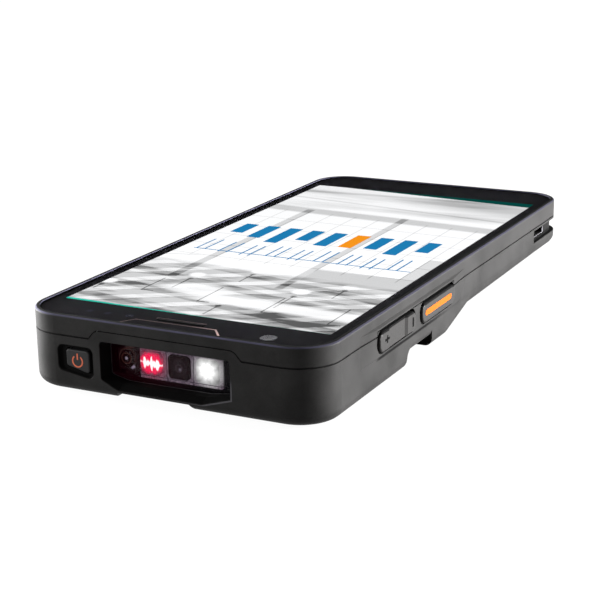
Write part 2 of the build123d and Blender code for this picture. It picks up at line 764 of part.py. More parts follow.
with BuildPart() as key_surround:
    for side, y0, y1 in key_zones:
        with BuildSketch(side_plane(side * (HALF_W - SURROUND))):
            bar(
                y0 - 2 * SURROUND_RAMP,
                y1 + 2 * SURROUND_RAMP,
                SURROUND_Z0 - SURROUND_RISE,
                SURROUND_Z1 + SURROUND_RISE,
            )
        with BuildSketch(side_plane(side * SURROUND_X)):
            bar(y0, y1, SURROUND_Z0 + SURROUND_RISE, SURROUND_Z1 - SURROUND_RISE)
        loft(ruled=True)

# ================================================================ rear housing
with BuildPart() as rear_housing:
    add([head_block.part, groove_block.part, ridge_block.part, tail_block.part, key_surround.part])
    with BuildSketch(Plane.XY.offset(SEAM_Z - SEAM_GAP)):
        Rectangle(2 * BODY_W, 2 * BODY_L)
    extrude(amount=BODY_H, mode=Mode.SUBTRACT)

    # tabs that lift the seam over the scan port and over the side keys
    with BuildSketch(front_plane(FRONT_Y)):
        scan_tab_outline()
        offset(amount=-SEAM_GAP)
    extrude(amount=-WALL)
    for side, y0, y1 in key_zones:
        with BuildSketch(Plane.XY.offset(SEAM_Z - WALL)):
            bar(side * INNER_X, side * SURROUND_X, y0, y1)
        extrude(amount=WALL + KEY_TAB_RISE - SEAM_GAP)

    # hollow inside, zone by zone
    with BuildSketch(Plane.XY.offset(FLOOR_T)):
        body_outline(WALL)
        keep_below(HEAD_Y - WALL)
    extrude(amount=BODY_H, mode=Mode.SUBTRACT)
    with BuildSketch(side_plane(-INNER_X)):
        shape(
            (HEAD_Y - 2 * WALL, BODY_H),
            (HEAD_Y - 2 * WALL, GROOVE_Z + WALL),
            (RIDGE_Y0 + WALL, GROOVE_Z + WALL),
            (RIDGE_Y0 + WALL, RIDGE_Z + FLOOR_T),
            (RIDGE_Y1, RIDGE_Z + FLOOR_T),
            (SLOPE_Y, TAIL_Z + FLOOR_T),
            (BAY_Y0, TAIL_Z + FLOOR_T),
            (BAY_Y0, BODY_H),
        )
    extrude(amount=2 * INNER_X, mode=Mode.SUBTRACT)
    with BuildSketch(Plane.XY.offset(TAIL_Z + FLOOR_T)):
        body_outline(WALL)
        keep_above(SLOPE_Y)
    extrude(amount=BODY_H, mode=Mode.SUBTRACT)

    # gasket shelf and the walls that part the side-key chambers from the dry inside
    with BuildSketch(Plane.XY.offset(SEAL_SHELF_Z)):
        seal_outline()
        offset(amount=SEAL_MARGIN)
        seal_outline_inside(SEAL_W + SEAL_MARGIN)
    extrude(amount=-SEAL_SHELF_H)
    for side in (-1, 1):
        with BuildSketch(side_plane(side * (SEAL_NARROW + CHAMBER_LAP))):
            shape(
                (SEAL_Y0 - SEAL_MARGIN, SEAL_SHELF_Z),
                (SEAL_Y0 - SEAL_MARGIN, WALL),
                (HEAD_Y - WALL, WALL),
                (HEAD_Y - WALL, GROOVE_Z + FLOOR_LAP),
                (RIDGE_Y0 + WALL, GROOVE_Z + FLOOR_LAP),
                (RIDGE_Y0 + WALL, RIDGE_Z + FLOOR_LAP),
                (RIDGE_Y1, RIDGE_Z + FLOOR_LAP),
                (SLOPE_Y, TAIL_Z + FLOOR_LAP),
                (SLOPE_Y, SEAL_SHELF_Z),
            )
        extrude(amount=-side * CHAMBER_WALL)

    # battery bay box with its roof, strap-eye corners, latch roof, screw bosses
    with BuildSketch(Plane.XY.offset(TAIL_Z + FLOOR_LAP)):
        bar(-BAY_HALF - BAY_WALL, BAY_HALF + BAY_WALL, BAY_Y0 - BAY_WALL, BAY_Y1 + BAY_WALL)
    extrude(amount=BAY_ROOF_Z + BAY_ROOF_T - TAIL_Z - FLOOR_LAP)
    with BuildSketch(Plane.XY.offset(TAIL_Z + FLOOR_LAP)):
        body_outline(WALL / 2)
        keep_above(EYE_Y0 - FLOOR_T)
        bar(-EYE_POST_IN, EYE_POST_IN, 0, BODY_L, mode=Mode.SUBTRACT)
    extrude(amount=SEAL_SHELF_Z - TAIL_Z - FLOOR_LAP)
    latch_side = LATCH_HALF + LATCH_RAIL + LATCH_SIDE
    with BuildSketch(Plane.XY.offset(TAIL_Z + FLOOR_LAP)):
        bar(-latch_side, latch_side, BAY_Y1, LATCH_POCKET_Y1 + LATCH_SIDE)
    extrude(amount=LATCH_TOP + RUN_GAP + LATCH_ROOF_T - TAIL_Z - FLOOR_LAP)
    for x, y, foot in screw_spots:
        with BuildSketch(Plane.XY.offset(foot)):
            with Locations((x, y)):
                Circle(REAR_BOSS_R)
        extrude(amount=BOSS_SPLIT_Z - foot)

    # seat plate of the scan engine, thicker floor over the channel, and the channel
    with BuildSketch(Plane.XY.offset(FLOOR_T - FLOOR_LAP)):
        bar(-PORT_HALF - HOOD_WALL, PORT_HALF + HOOD_WALL, FRONT_Y + WALL, SEAT_Y1)
        bar(CHANNEL_X0 - WALL, CHANNEL_X1 + WALL, SEAT_Y1 - FLOOR_LAP, CHANNEL_Y1 + WALL)
    extrude(amount=CHANNEL_FLOOR - FLOOR_T + FLOOR_LAP)
    with BuildSketch(front_plane(FRONT_Y)):
        shape(
            (CHANNEL_X0 - CHANNEL_DRAFT, -CHANNEL_DEPTH),
            (CHANNEL_X1 + CHANNEL_DRAFT, -CHANNEL_DEPTH),
            (CHANNEL_X1 - CHANNEL_DRAFT / 2, CHANNEL_DEPTH),
            (CHANNEL_X0 + CHANNEL_DRAFT / 2, CHANNEL_DEPTH),
        )
    extrude(amount=-(CHANNEL_Y1 - FRONT_Y), mode=Mode.SUBTRACT)

    # hood round the scan port, its bevelled sill and the window seat
    with BuildSketch(front_plane(FRONT_Y + WALL - HOOD_LAP)):
        bar(-PORT_HALF - HOOD_WALL, PORT_HALF + HOOD_WALL, FLOOR_T - FLOOR_LAP, PORT_IN_TOP + HOOD_ROOF)
    extrude(amount=-(HOOD_Y - FRONT_Y - WALL + HOOD_LAP))
    with BuildSketch(front_plane(FRONT_Y)):
        port_outline(PORT_TOP, PORT_SILL_Z)
    with BuildSketch(front_plane(FRONT_Y + BEVEL_DEPTH)):
        port_outline(PORT_IN_TOP, PORT_FLOOR_Z)
    loft(mode=Mode.SUBTRACT)
    with BuildSketch(front_plane(FRONT_Y + BEVEL_DEPTH)):
        port_outline(PORT_IN_TOP, PORT_FLOOR_Z)
    extrude(amount=-(WINDOW_Y - FRONT_Y - BEVEL_DEPTH), mode=Mode.SUBTRACT)
    with BuildSketch(front_plane(WINDOW_Y)):
        port_outline(PORT_IN_TOP, PORT_FLOOR_Z, WINDOW_LAP)
    extrude(amount=-(HOOD_Y - WINDOW_Y), mode=Mode.SUBTRACT)

    # dish and hole of the power key
    with BuildSketch(front_plane(FRONT_Y)):
        slanted_outline(DISH_X0, DISH_X1, BODY_H - DISH_TOP_DROP, BODY_H - DISH_DROP, 0, DISH_R)
    with BuildSketch(front_plane(FRONT_Y + DISH_D)):
        slanted_outline(DISH_X0, DISH_X1, BODY_H - DISH_TOP_DROP, BODY_H - DISH_DROP, -DISH_DRAFT, DISH_R)
    loft(mode=Mode.SUBTRACT)
    with BuildSketch(front_plane(FRONT_Y)):
        power_outline(KEY_GAP)
    extrude(amount=-WALL, mode=Mode.SUBTRACT)

    # pockets and holes of the side keys, reaching up to the seam
    for side, name, keys, switch_ys, legs in side_keys:
        for y0, y1 in keys:
            with BuildSketch(side_plane(side * SURROUND_X)):
                key_outline(y0, y1, POCKET_GAP, POCKET_FOOT, POCKET_GAP)
            extrude(amount=-side * POCKET_D, mode=Mode.SUBTRACT)
            with BuildSketch(side_plane(side * SURROUND_X)):
                key_outline(y0, y1, KEY_GAP, KEY_GAP, POCKET_GAP)
            extrude(amount=-side * (SURROUND_X - INNER_X), mode=Mode.SUBTRACT)

    # grooves round the far corners and the strap tunnels behind the corner posts
    with BuildSketch(Plane.XY.offset(BODY_H - EYE_DROP)):
        body_outline(-WALL)
        body_outline(EYE_DEPTH, mode=Mode.SUBTRACT)
        keep_above(EYE_Y0)
        bar(-EYE_END_X, EYE_END_X, 0, BODY_L, mode=Mode.SUBTRACT)
    extrude(amount=EYE_DROP - EYE_TOP_DROP, mode=Mode.SUBTRACT)
    with BuildSketch(Plane.XY.offset(EYE_HOLE_Z0)):
        for side in (-1, 1):
            bar(side * EYE_IN_X, side * BODY_W, EYE_HOLE_Y0, EYE_HOLE_Y0 + EYE_HOLE_L)
            bar(side * EYE_IN_X, side * (EYE_IN_X + EYE_LEG), EYE_HOLE_Y0, BODY_L)
    extrude(amount=EYE_HOLE_H, mode=Mode.SUBTRACT)

    # battery bay, slots for its hooks, window for the battery plug
    with BuildSketch(Plane.XY):
        with Locations((0, (BAY_Y0 + BAY_Y1) / 2)):
            RectangleRounded(2 * BAY_HALF, BAY_Y1 - BAY_Y0, BAY_R)
    extrude(amount=BAY_ROOF_Z, mode=Mode.SUBTRACT)
    with BuildSketch(Plane.XY.offset(HOOK_Z - FIT)):
        for side in (-1, 1):
            with Locations((side * HOOK_X, BAY_Y0 - HOOK_REACH / 2)):
                Rectangle(HOOK_W + 2 * FIT, HOOK_REACH + 2 * FIT)
    extrude(amount=HOOK_H + 2 * FIT, mode=Mode.SUBTRACT)
    with BuildSketch(front_plane(BAY_Y0 - BAY_WALL)):
        bar(-SOCKET_HALF - FIT, SOCKET_HALF + FIT, BLADE_Z - FIT, BLADE_Z + BLADE_H + FIT)
    extrude(amount=-BAY_WALL, mode=Mode.SUBTRACT)

    # latch pocket, grooves for its rails, slot for its tongue
    with BuildSketch(Plane.XY):
        bar(-LATCH_HALF - RUN_GAP, LATCH_HALF + RUN_GAP, LATCH_Y - RUN_GAP, LATCH_POCKET_Y1)
    extrude(amount=LATCH_TOP + RUN_GAP, mode=Mode.SUBTRACT)
    rail_reach = LATCH_HALF + LATCH_RAIL + RUN_GAP
    with BuildSketch(Plane.XY.offset(LATCH_RAIL_Z - RUN_GAP)):
        bar(-rail_reach, rail_reach, LATCH_Y - RUN_GAP, LATCH_POCKET_Y1)
    extrude(amount=LATCH_RAIL_H + 2 * RUN_GAP, mode=Mode.SUBTRACT)
    with BuildSketch(Plane.XY.offset(TONGUE_Z - RUN_GAP)):
        bar(-TONGUE_HALF - RUN_GAP, TONGUE_HALF + RUN_GAP, BAY_Y1 - FIT, LATCH_Y)
    extrude(amount=LATCH_TOP - TONGUE_Z + 2 * RUN_GAP, mode=Mode.SUBTRACT)

    # screw seats and holes
    with BuildSketch(Plane.XY):
        for x, y, foot in screw_spots:
            with Locations((x, y)):
                Circle(SCREW_HEAD_R + FIT)
    extrude(amount=SCREW_SEAT_Z, mode=Mode.SUBTRACT)
    with BuildSketch(Plane.XY):
        for x, y, foot in screw_spots:
            with Locations((x, y)):
                Circle(SCREW_R + FIT)
    extrude(amount=BOSS_SPLIT_Z, mode=Mode.SUBTRACT)
    with BuildSketch(Plane.XY.offset(CHANNEL_FLOOR)):
        for x in engine_screw_xs:
            with Locations((x, BRACKET_MID_Y)):
                Circle(ENGINE_SCREW_R + THREAD_GAP)
    extrude(amount=-ENGINE_SCREW_L, mode=Mode.SUBTRACT)

    # charging port, charging contacts, speaker grille, camera window, flash, microphones
    with BuildSketch(front_plane(END_Y)):
        with Locations((0, USB_MID_Z)):
            SlotOverall(USB_W + 2 * FIT, USB_H + 2 * FIT)
    extrude(amount=WALL, mode=Mode.SUBTRACT)
    with BuildSketch(Plane.XY):
        for x in contact_xs:
            with Locations((x, CONTACT_Y)):
                Circle(CONTACT_R + RUN_GAP)
    extrude(amount=TAIL_Z + FLOOR_T, mode=Mode.SUBTRACT)
    with BuildSketch(Plane.XY):
        with Locations((SPEAKER_X, SPEAKER_Y)):
            with GridLocations(GRILLE_PITCH, 1, GRILLE_SLOTS, 1):
                SlotOverall(GRILLE_SLOT_L, GRILLE_SLOT_W, rotation=90)
        with Locations(MIC_FLOOR_SPOT):
            Circle(MIC_HOLE_R)
    extrude(amount=FLOOR_T, mode=Mode.SUBTRACT)
    with BuildSketch(Plane.XY):
        with Locations((REAR_CAM_X, REAR_CAM_Y)):
            Circle(CAM_WINDOW_R + FIT)
    extrude(amount=CHANNEL_DEPTH + CAM_WINDOW_SET + CAM_WINDOW_T, mode=Mode.SUBTRACT)
    with BuildSketch(Plane.XY):
        with Locations((REAR_CAM_X, REAR_CAM_Y)):
            Circle(CAM_WINDOW_R - CAM_WINDOW_LAP)
        with Locations((FLASH_X, REAR_CAM_Y)):
            Circle(FLASH_R + RUN_GAP)
    extrude(amount=CHANNEL_FLOOR, mode=Mode.SUBTRACT)
    with BuildSketch(front_plane(END_Y)):
        with Locations((MIC_END_X, USB_MID_Z)):
            Circle(MIC_HOLE_R)
    extrude(amount=WALL, mode=Mode.SUBTRACT)
keep(rear_housing, "rear_housing")

# ================================================================ front housing
with BuildPart() as front_housing:
    with BuildSketch(Plane.XY.offset(SEAM_Z)):
        body_outline()
    extrude(amount=BODY_H - SEAM_Z)
    fillet(front_housing.faces().sort_by(Axis.Z)[-1].edges(), RIM_EDGE_R)
    add(key_surround.part)
    with BuildSketch(Plane.XY.offset(SEAM_Z)):
        Rectangle(2 * BODY_W, 2 * BODY_L)
    extrude(amount=-BODY_H, mode=Mode.SUBTRACT)

    # seat of the glass, inside of the skirt, screen opening
    with BuildSketch(Plane.XY.offset(LEDGE_Z)):
        body_outline(RIM_T)
    extrude(amount=BODY_H, mode=Mode.SUBTRACT)
    with BuildSketch(Plane.XY.offset(FRAME_TOP)):
        body_outline(WALL)
    extrude(amount=-BODY_H, mode=Mode.SUBTRACT)
    with BuildSketch(Plane.XY.offset(FRAME_TOP)):
        opening_x = PANEL_W / 2 + OPENING_GAP
        bar(-opening_x, opening_x, PANEL_Y0 - OPENING_GAP, PANEL_Y1 + OPENING_GAP)
    extrude(amount=LEDGE_T, mode=Mode.SUBTRACT)

    # room for the tabs of the rear housing
    with BuildSketch(front_plane(FRONT_Y)):
        scan_tab_outline()
    extrude(amount=-WALL - FIT, mode=Mode.SUBTRACT)
    for side, y0, y1 in key_zones:
        with BuildSketch(Plane.XY.offset(SEAM_Z)):
            bar(side * (INNER_X - FIT), side * BODY_W, y0 - SEAM_GAP, y1 + SEAM_GAP)
        extrude(amount=KEY_TAB_RISE, mode=Mode.SUBTRACT)

    # sound slit and receiver pocket, front camera, light and proximity sensor, status light
    with BuildSketch(Plane.XY.offset(FRAME_TOP)):
        with Locations((EARPIECE_X, EARPIECE_Y)):
            SlotOverall(SLIT_W, SLIT_H)
        with Locations((FRONT_CAM_X, FRONT_CAM_Y)):
            Rectangle(FRONT_CAM_SIDE + 2 * FIT, FRONT_CAM_SIDE + 2 * FIT)
        for x in SENSOR_XS:
            with Locations((x, SENSOR_Y)):
                Circle(SENSOR_R + FIT)
        with Locations((LED_X, LED_Y)):
            Circle(LED_R + FIT)
    extrude(amount=LEDGE_T, mode=Mode.SUBTRACT)
    with BuildSketch(Plane.XY.offset(FRAME_TOP)):
        with Locations((EARPIECE_X, RECEIVER_Y)):
            Rectangle(RECEIVER_W + 2 * FIT, RECEIVER_D + 2 * FIT)
    extrude(amount=FRAME_Z + RECEIVER_T - FRAME_TOP, mode=Mode.SUBTRACT)
keep(front_housing, "front_housing")

# ================================================================ screen stack
with BuildPart() as cover_glass:
    with BuildSketch(Plane.XY.offset(GLASS_Z)):
        body_outline(RIM_T + GLASS_FIT)
        with Locations((EARPIECE_X, EARPIECE_Y)):
            SlotOverall(SLIT_W, SLIT_H, mode=Mode.SUBTRACT)
    extrude(amount=GLASS_T)
    chamfer(cover_glass.faces().sort_by(Axis.Z)[-1].outer_wire().edges(), GLASS_EDGE)
keep(cover_glass, "cover_glass")

with BuildPart() as glass_adhesive:
    with BuildSketch(Plane.XY.offset(LEDGE_Z)):
        body_outline(RIM_T + FIT)
        body_outline(RIM_T + FIT + ADHESIVE_W, mode=Mode.SUBTRACT)
    extrude(amount=ADHESIVE_T)
keep(glass_adhesive, "glass_adhesive")

with BuildPart() as display_panel:
    with BuildSketch(Plane.XY.offset(GLASS_Z)):
        bar(-PANEL_W / 2, PANEL_W / 2, PANEL_Y0, PANEL_Y1)
    extrude(amount=-PANEL_T)
keep(display_panel, "display_panel")

with BuildPart() as earpiece_mesh:
    with BuildSketch(Plane.XY.offset(LEDGE_Z)):
        with Locations((EARPIECE_X, EARPIECE_Y)):
            SlotOverall(SLIT_W + 2 * MESH_LAP, SLIT_H + 2 * MESH_LAP)
    extrude(amount=MESH_T)
keep(earpiece_mesh, "earpiece_mesh")

with BuildPart() as earpiece_receiver:
    with BuildSketch(Plane.XY.offset(FRAME_Z)):
        with Locations((EARPIECE_X, RECEIVER_Y)):
            RectangleRounded(RECEIVER_W, RECEIVER_D, BOX_R)
    extrude(amount=RECEIVER_T)
keep(earpiece_receiver, "earpiece_receiver")

with BuildPart() as front_camera:
    with BuildSketch(Plane.XY.offset(GLASS_Z - FIT)):
        with Locations((FRONT_CAM_X, FRONT_CAM_Y)):
            RectangleRounded(FRONT_CAM_SIDE, FRONT_CAM_SIDE, SMALL_R)
    extrude(amount=-FRONT_CAM_H)
    with BuildSketch(Plane.XY.offset(GLASS_Z - FIT)):
        with Locations((FRONT_CAM_X, FRONT_CAM_Y)):
            Circle(FRONT_CAM_LENS_R)
    extrude(amount=-FRONT_CAM_BORE, mode=Mode.SUBTRACT)
    with BuildSketch(Plane.XY.offset(GLASS_Z - FIT - FRONT_CAM_BORE)):
        with Locations((FRONT_CAM_X, FRONT_CAM_Y)):
            Circle(FRONT_CAM_LENS_R / 2)
    extrude(amount=FRONT_CAM_BORE / 2, taper=20)
keep(front_camera, "front_camera")

with BuildPart() as proximity_sensor:
    with BuildSketch(Plane.XY.offset(FRAME_TOP)):
        with Locations((sum(SENSOR_XS) / 2, SENSOR_Y)):
            RectangleRounded(SENSOR_BASE_W, SENSOR_BASE_D, SMALL_R)
    extrude(amount=-SENSOR_BASE_T)
    with BuildSketch(Plane.XY.offset(FRAME_TOP)):
        for x in SENSOR_XS:
            with Locations((x, SENSOR_Y)):
                Circle(SENSOR_R)
    extrude(amount=GLASS_Z - FRAME_TOP)
keep(proximity_sensor, "proximity_sensor")

with BuildPart() as status_light_pipe:
    with BuildSketch(Plane.XY.offset(FRAME_TOP)):
        with Locations((LED_X, LED_Y)):
            Circle(LED_FLANGE_R)
    extrude(amount=-SENSOR_BASE_T)
    with BuildSketch(Plane.XY.offset(FRAME_TOP)):
        with Locations((LED_X, LED_Y)):
            Circle(LED_R)
    extrude(amount=GLASS_Z - FRAME_TOP)
keep(status_light_pipe, "status_light_pipe")

# ================================================================ metal frame and housing gasket
with BuildPart() as mid_frame:
    with BuildSketch(Plane.XY.offset(FRAME_Z)):
        body_outline(WALL + FIT)
        for side, y0, y1 in key_zones:
            bar(side * (HALF_W - FRAME_NOTCH), side * HALF_W, y0, y1, mode=Mode.SUBTRACT)
        with Locations((FRONT_CAM_X, FRONT_CAM_Y)):
            Rectangle(FRONT_CAM_SIDE + 2 * FIT, FRONT_CAM_SIDE + 2 * FIT, mode=Mode.SUBTRACT)
        with Locations((EARPIECE_X, RECEIVER_Y)):
            Rectangle(RECEIVER_W + 2 * FIT, RECEIVER_D + 2 * FIT, mode=Mode.SUBTRACT)
        sensors_x0 = sum(SENSOR_XS) / 2 - SENSOR_BASE_W / 2 - FIT
        sensors_x1 = LED_X + LED_FLANGE_R + FIT
        sensors_y = SENSOR_BASE_D / 2 + FIT
        bar(sensors_x0, sensors_x1, SENSOR_Y - sensors_y, SENSOR_Y + sensors_y, mode=Mode.SUBTRACT)
        with Locations((0, FLEX_BEND_Y)):
            Rectangle(FLEX_W + 2 * FLEX_SLOT, 2 * FLEX_SLOT, mode=Mode.SUBTRACT)
    extrude(amount=FRAME_T)
    with BuildSketch(Plane.XY.offset(FRAME_Z)):
        for x, y, foot in screw_spots:
            with Locations((x, y)):
                Circle(BOSS_R)
    extrude(amount=BOSS_SPLIT_Z - FRAME_Z)
    with BuildSketch(Plane.XY.offset(FRAME_Z)):
        for x, y in board_screw_spots:
            with Locations((x, y)):
                Circle(BOARD_BOSS_R)
    extrude(amount=BOARD_Z + BOARD_T - FRAME_Z)
    with BuildSketch(Plane.XY.offset(BOSS_SPLIT_Z)):
        for x, y, foot in screw_spots:
            with Locations((x, y)):
                Circle(SCREW_R + THREAD_GAP)
    extrude(amount=SCREW_TIP_Z - BOSS_SPLIT_Z + FIT, mode=Mode.SUBTRACT)
    with BuildSketch(Plane.XY.offset(BOARD_Z + BOARD_T)):
        for x, y in board_screw_spots:
            with Locations((x, y)):
                Circle(BOARD_SCREW_R + THREAD_GAP)
    extrude(amount=FRAME_Z - BOARD_Z - BOARD_T, mode=Mode.SUBTRACT)
keep(mid_frame, "mid_frame")

with BuildPart() as housing_gasket:
    with BuildSketch(Plane.XY.offset(SEAL_SHELF_Z)):
        seal_outline()
        seal_outline_inside(SEAL_W)
    extrude(amount=FRAME_Z - SEAL_SHELF_Z)
keep(housing_gasket, "housing_gasket")

# ================================================================ screws
with BuildPart() as housing_screws:
    for x, y, foot in screw_spots:
        with BuildSketch(Plane.XY.offset(SCREW_SEAT_Z)):
            with Locations((x, y)):
                Circle(SCREW_HEAD_R)
        extrude(amount=-SCREW_HEAD_H)
        with BuildSketch(Plane.XY.offset(SCREW_SEAT_Z)):
            with Locations((x, y)):
                Circle(SCREW_R)
        extrude(amount=SCREW_TIP_Z - SCREW_SEAT_Z)
        with BuildSketch(Plane.XY.offset(SCREW_SEAT_Z - SCREW_HEAD_H)):
            with Locations((x, y)):
                RegularPolygon(DRIVE_R, 6)
        extrude(amount=DRIVE_D, mode=Mode.SUBTRACT)
keep(housing_screws, "housing_screws")

with BuildPart() as board_screws:
    for x, y in board_screw_spots:
        with BuildSketch(Plane.XY.offset(BOARD_Z)):
            with Locations((x, y)):
                Circle(BOARD_SCREW_HEAD_R)
        extrude(amount=-BOARD_SCREW_HEAD_H)
        with BuildSketch(Plane.XY.offset(BOARD_Z)):
            with Locations((x, y)):
                Circle(BOARD_SCREW_R)
        extrude(amount=FRAME_Z - BOARD_Z - FIT)
keep(board_screws, "board_screws")

# ================================================================ scan window and scan engine
with BuildPart() as window_gasket:
    with BuildSketch(front_plane(WINDOW_Y)):
        port_outline(PORT_IN_TOP, PORT_FLOOR_Z, WINDOW_LAP - RUN_GAP)
        with BuildSketch(front_plane(WINDOW_Y), mode=Mode.PRIVATE) as sight:
            port_outline(PORT_IN_TOP, PORT_FLOOR_Z)
        add(sight.sketch, mode=Mode.SUBTRACT)
    extrude(amount=-GASKET_T)
keep(window_gasket, "window_gasket")

with BuildPart() as scan_window:
    with BuildSketch(front_plane(WINDOW_Y + GASKET_T)):
        port_outline(PORT_IN_TOP, PORT_FLOOR_Z, WINDOW_LAP - RUN_GAP)
    extrude(amount=-WINDOW_T)
keep(scan_window, "scan_window")

with BuildPart() as scan_engine_body:
    with BuildSketch(Plane.XY.offset(ENGINE_Z0)):
        with Locations((0, ENGINE_Y + ENGINE_D / 2)):
            RectangleRounded(ENGINE_W, ENGINE_D, SMALL_R)
    extrude(amount=ENGINE_H)
keep(scan_engine_body, "scan_engine_body")

for name, place in (("red_illuminator", -1), ("imager_lens", 0), ("white_illuminator", 1)):
    with BuildPart() as lens_plate:
        middle = (place * LENS_PITCH, ENGINE_MID_Z)
        with BuildSketch(front_plane(ENGINE_Y)):
            with Locations(middle):
                RectangleRounded(LENS_SIDE, LENS_SIDE, LENS_CORNER_R)
        extrude(amount=LENS_PLATE_T)
        with BuildSketch(front_plane(ENGINE_Y - LENS_PLATE_T)):
            with Locations(middle):
                if place < 0:
                    with GridLocations(LED_DOME_PITCH, LED_DOME_PITCH, 2, 2):
                        Circle(LED_DOME_R)
                else:
                    Circle(LENS_BARREL_R)
        extrude(amount=LENS_DOME_H)
    keep(lens_plate, name)

with BuildPart() as aimer_module:
    with BuildSketch(front_plane(ENGINE_Y)):
        with Locations((AIMER_X, ENGINE_MID_Z)):
            RectangleRounded(AIMER_W, AIMER_W, SMALL_R)
    extrude(amount=-AIMER_D)
    with BuildSketch(Plane.XY.offset(CHANNEL_FLOOR)):
        with Locations((AIMER_X, ENGINE_Y + AIMER_D / 2)):
            Rectangle(AIMER_W / 2, AIMER_D / 2)
    extrude(amount=ENGINE_MID_Z - CHANNEL_FLOOR)
keep(aimer_module, "aimer_module")

with BuildPart() as aiming_lens:
    with BuildSketch(front_plane(ENGINE_Y)):
        with Locations((AIMER_X, ENGINE_MID_Z)):
            Circle(AIMER_R)
    extrude(amount=LENS_PLATE_T)
    fillet(aiming_lens.faces().sort_by(Axis.Y)[0].edges(), LENS_PLATE_T / 2)
keep(aiming_lens, "aiming_lens")

with BuildPart() as engine_bracket:
    inside_x = ENGINE_W / 2 + FIT
    roof_z = ENGINE_Z0 + ENGINE_H + RUN_GAP
    outside_x = inside_x + BRACKET_T
    flange_x = outside_x + BRACKET_FLANGE
    with BuildSketch(front_plane(BRACKET_Y0)):
        shape(
            (-flange_x, CHANNEL_FLOOR),
            (-flange_x, CHANNEL_FLOOR + BRACKET_T),
            (-outside_x, CHANNEL_FLOOR + BRACKET_T),
            (-outside_x, roof_z + BRACKET_T),
            (outside_x, roof_z + BRACKET_T),
            (outside_x, CHANNEL_FLOOR + BRACKET_T),
            (flange_x, CHANNEL_FLOOR + BRACKET_T),
            (flange_x, CHANNEL_FLOOR),
            (inside_x, CHANNEL_FLOOR),
            (inside_x, roof_z),
            (-inside_x, roof_z),
            (-inside_x, CHANNEL_FLOOR),
        )
    extrude(amount=-(BRACKET_Y1 - BRACKET_Y0))
    with BuildSketch(Plane.XY.offset(CHANNEL_FLOOR)):
        for x in engine_screw_xs:
            with Locations((x, BRACKET_MID_Y)):
                Circle(ENGINE_SCREW_R + THREAD_GAP)
    extrude(amount=BRACKET_T, mode=Mode.SUBTRACT)
keep(engine_bracket, "engine_bracket")

with BuildPart() as engine_screws:
    for x in engine_screw_xs:
        with BuildSketch(Plane.XY.offset(CHANNEL_FLOOR + BRACKET_T)):
            with Locations((x, BRACKET_MID_Y)):
                Circle(ENGINE_SCREW_HEAD_R)
        extrude(amount=ENGINE_SCREW_HEAD_H)
        with BuildSketch(Plane.XY.offset(CHANNEL_FLOOR + BRACKET_T)):
            with Locations((x, BRACKET_MID_Y)):
                Circle(ENGINE_SCREW_R)
        extrude(amount=-BRACKET_T - ENGINE_SCREW_L + FIT)
keep(engine_screws, "engine_screws")

with BuildPart() as engine_flex:
    engine_back = ENGINE_Y + ENGINE_D
    flex_z = ENGINE_Z0 + ENGINE_H - ENGINE_FLEX_DROP
    bend_y = engine_back + ENGINE_FLEX_LEAD
    land_y = BOARD_Y0 + ENGINE_FLEX_SET
    with BuildSketch(side_plane(-ENGINE_FLEX_W / 2)):
        shape(
            (engine_back, flex_z),
            (bend_y, flex_z),
            (land_y, BOARD_Z),
            (land_y + ENGINE_FLEX_LAND, BOARD_Z),
            (land_y + ENGINE_FLEX_LAND, BOARD_Z - FLEX_T),
            (land_y + FLEX_T / 2, BOARD_Z - FLEX_T),
            (bend_y + FLEX_T / 2, flex_z - FLEX_T),
            (engine_back, flex_z - FLEX_T),
        )
    extrude(amount=ENGINE_FLEX_W)
keep(engine_flex, "engine_flex")

# ================================================================ power key
with BuildPart() as power_button:
    with BuildSketch(front_plane(FRONT_Y + POWER_RECESS)):
        power_outline()
    extrude(amount=POWER_RECESS + FRONT_Y - POWER_FLANGE_Y)
    fillet(power_button.faces().sort_by(Axis.Y)[0].edges(), POWER_EDGE_R)
    with BuildSketch(front_plane(POWER_FLANGE_Y)):
        power_outline(POWER_FLANGE_LAP)
    extrude(amount=-FLANGE_T)
keep(power_button, "power_button")

with BuildPart() as power_key_boot:
    with BuildSketch(front_plane(POWER_BOOT_Y)):
        power_outline(POWER_FLANGE_LAP + FIT + POWER_BOOT_RIM)
    extrude(amount=-BOOT_T)
    with BuildSketch(front_plane(POWER_BOOT_Y)):
        power_outline(POWER_FLANGE_LAP + FIT + POWER_BOOT_RIM)
    extrude(amount=POWER_BOOT_Y - FRONT_Y - WALL)
    with BuildSketch(front_plane(POWER_BOOT_Y)):
        power_outline(POWER_FLANGE_LAP + FIT)
    extrude(amount=POWER_BOOT_Y - FRONT_Y - WALL, mode=Mode.SUBTRACT)
keep(power_key_boot, "power_key_boot")

with BuildPart() as power_key_switch:
    with BuildSketch(front_plane(POWER_SWITCH_Y)):
        with Locations((POWER_MID_X, POWER_MID_Z)):
            Circle(SWITCH_R)
    extrude(amount=-SWITCH_T)
    with BuildSketch(front_plane(POWER_SWITCH_Y + SWITCH_T)):
        with Locations((POWER_MID_X, POWER_MID_Z)):
            RectangleRounded(POWER_PLATE_W - 2 * FIT, 2 * (SWITCH_R + SWITCH_RIM), SMALL_R)
    extrude(amount=-FLEX_T)
keep(power_key_switch, "power_key_switch")

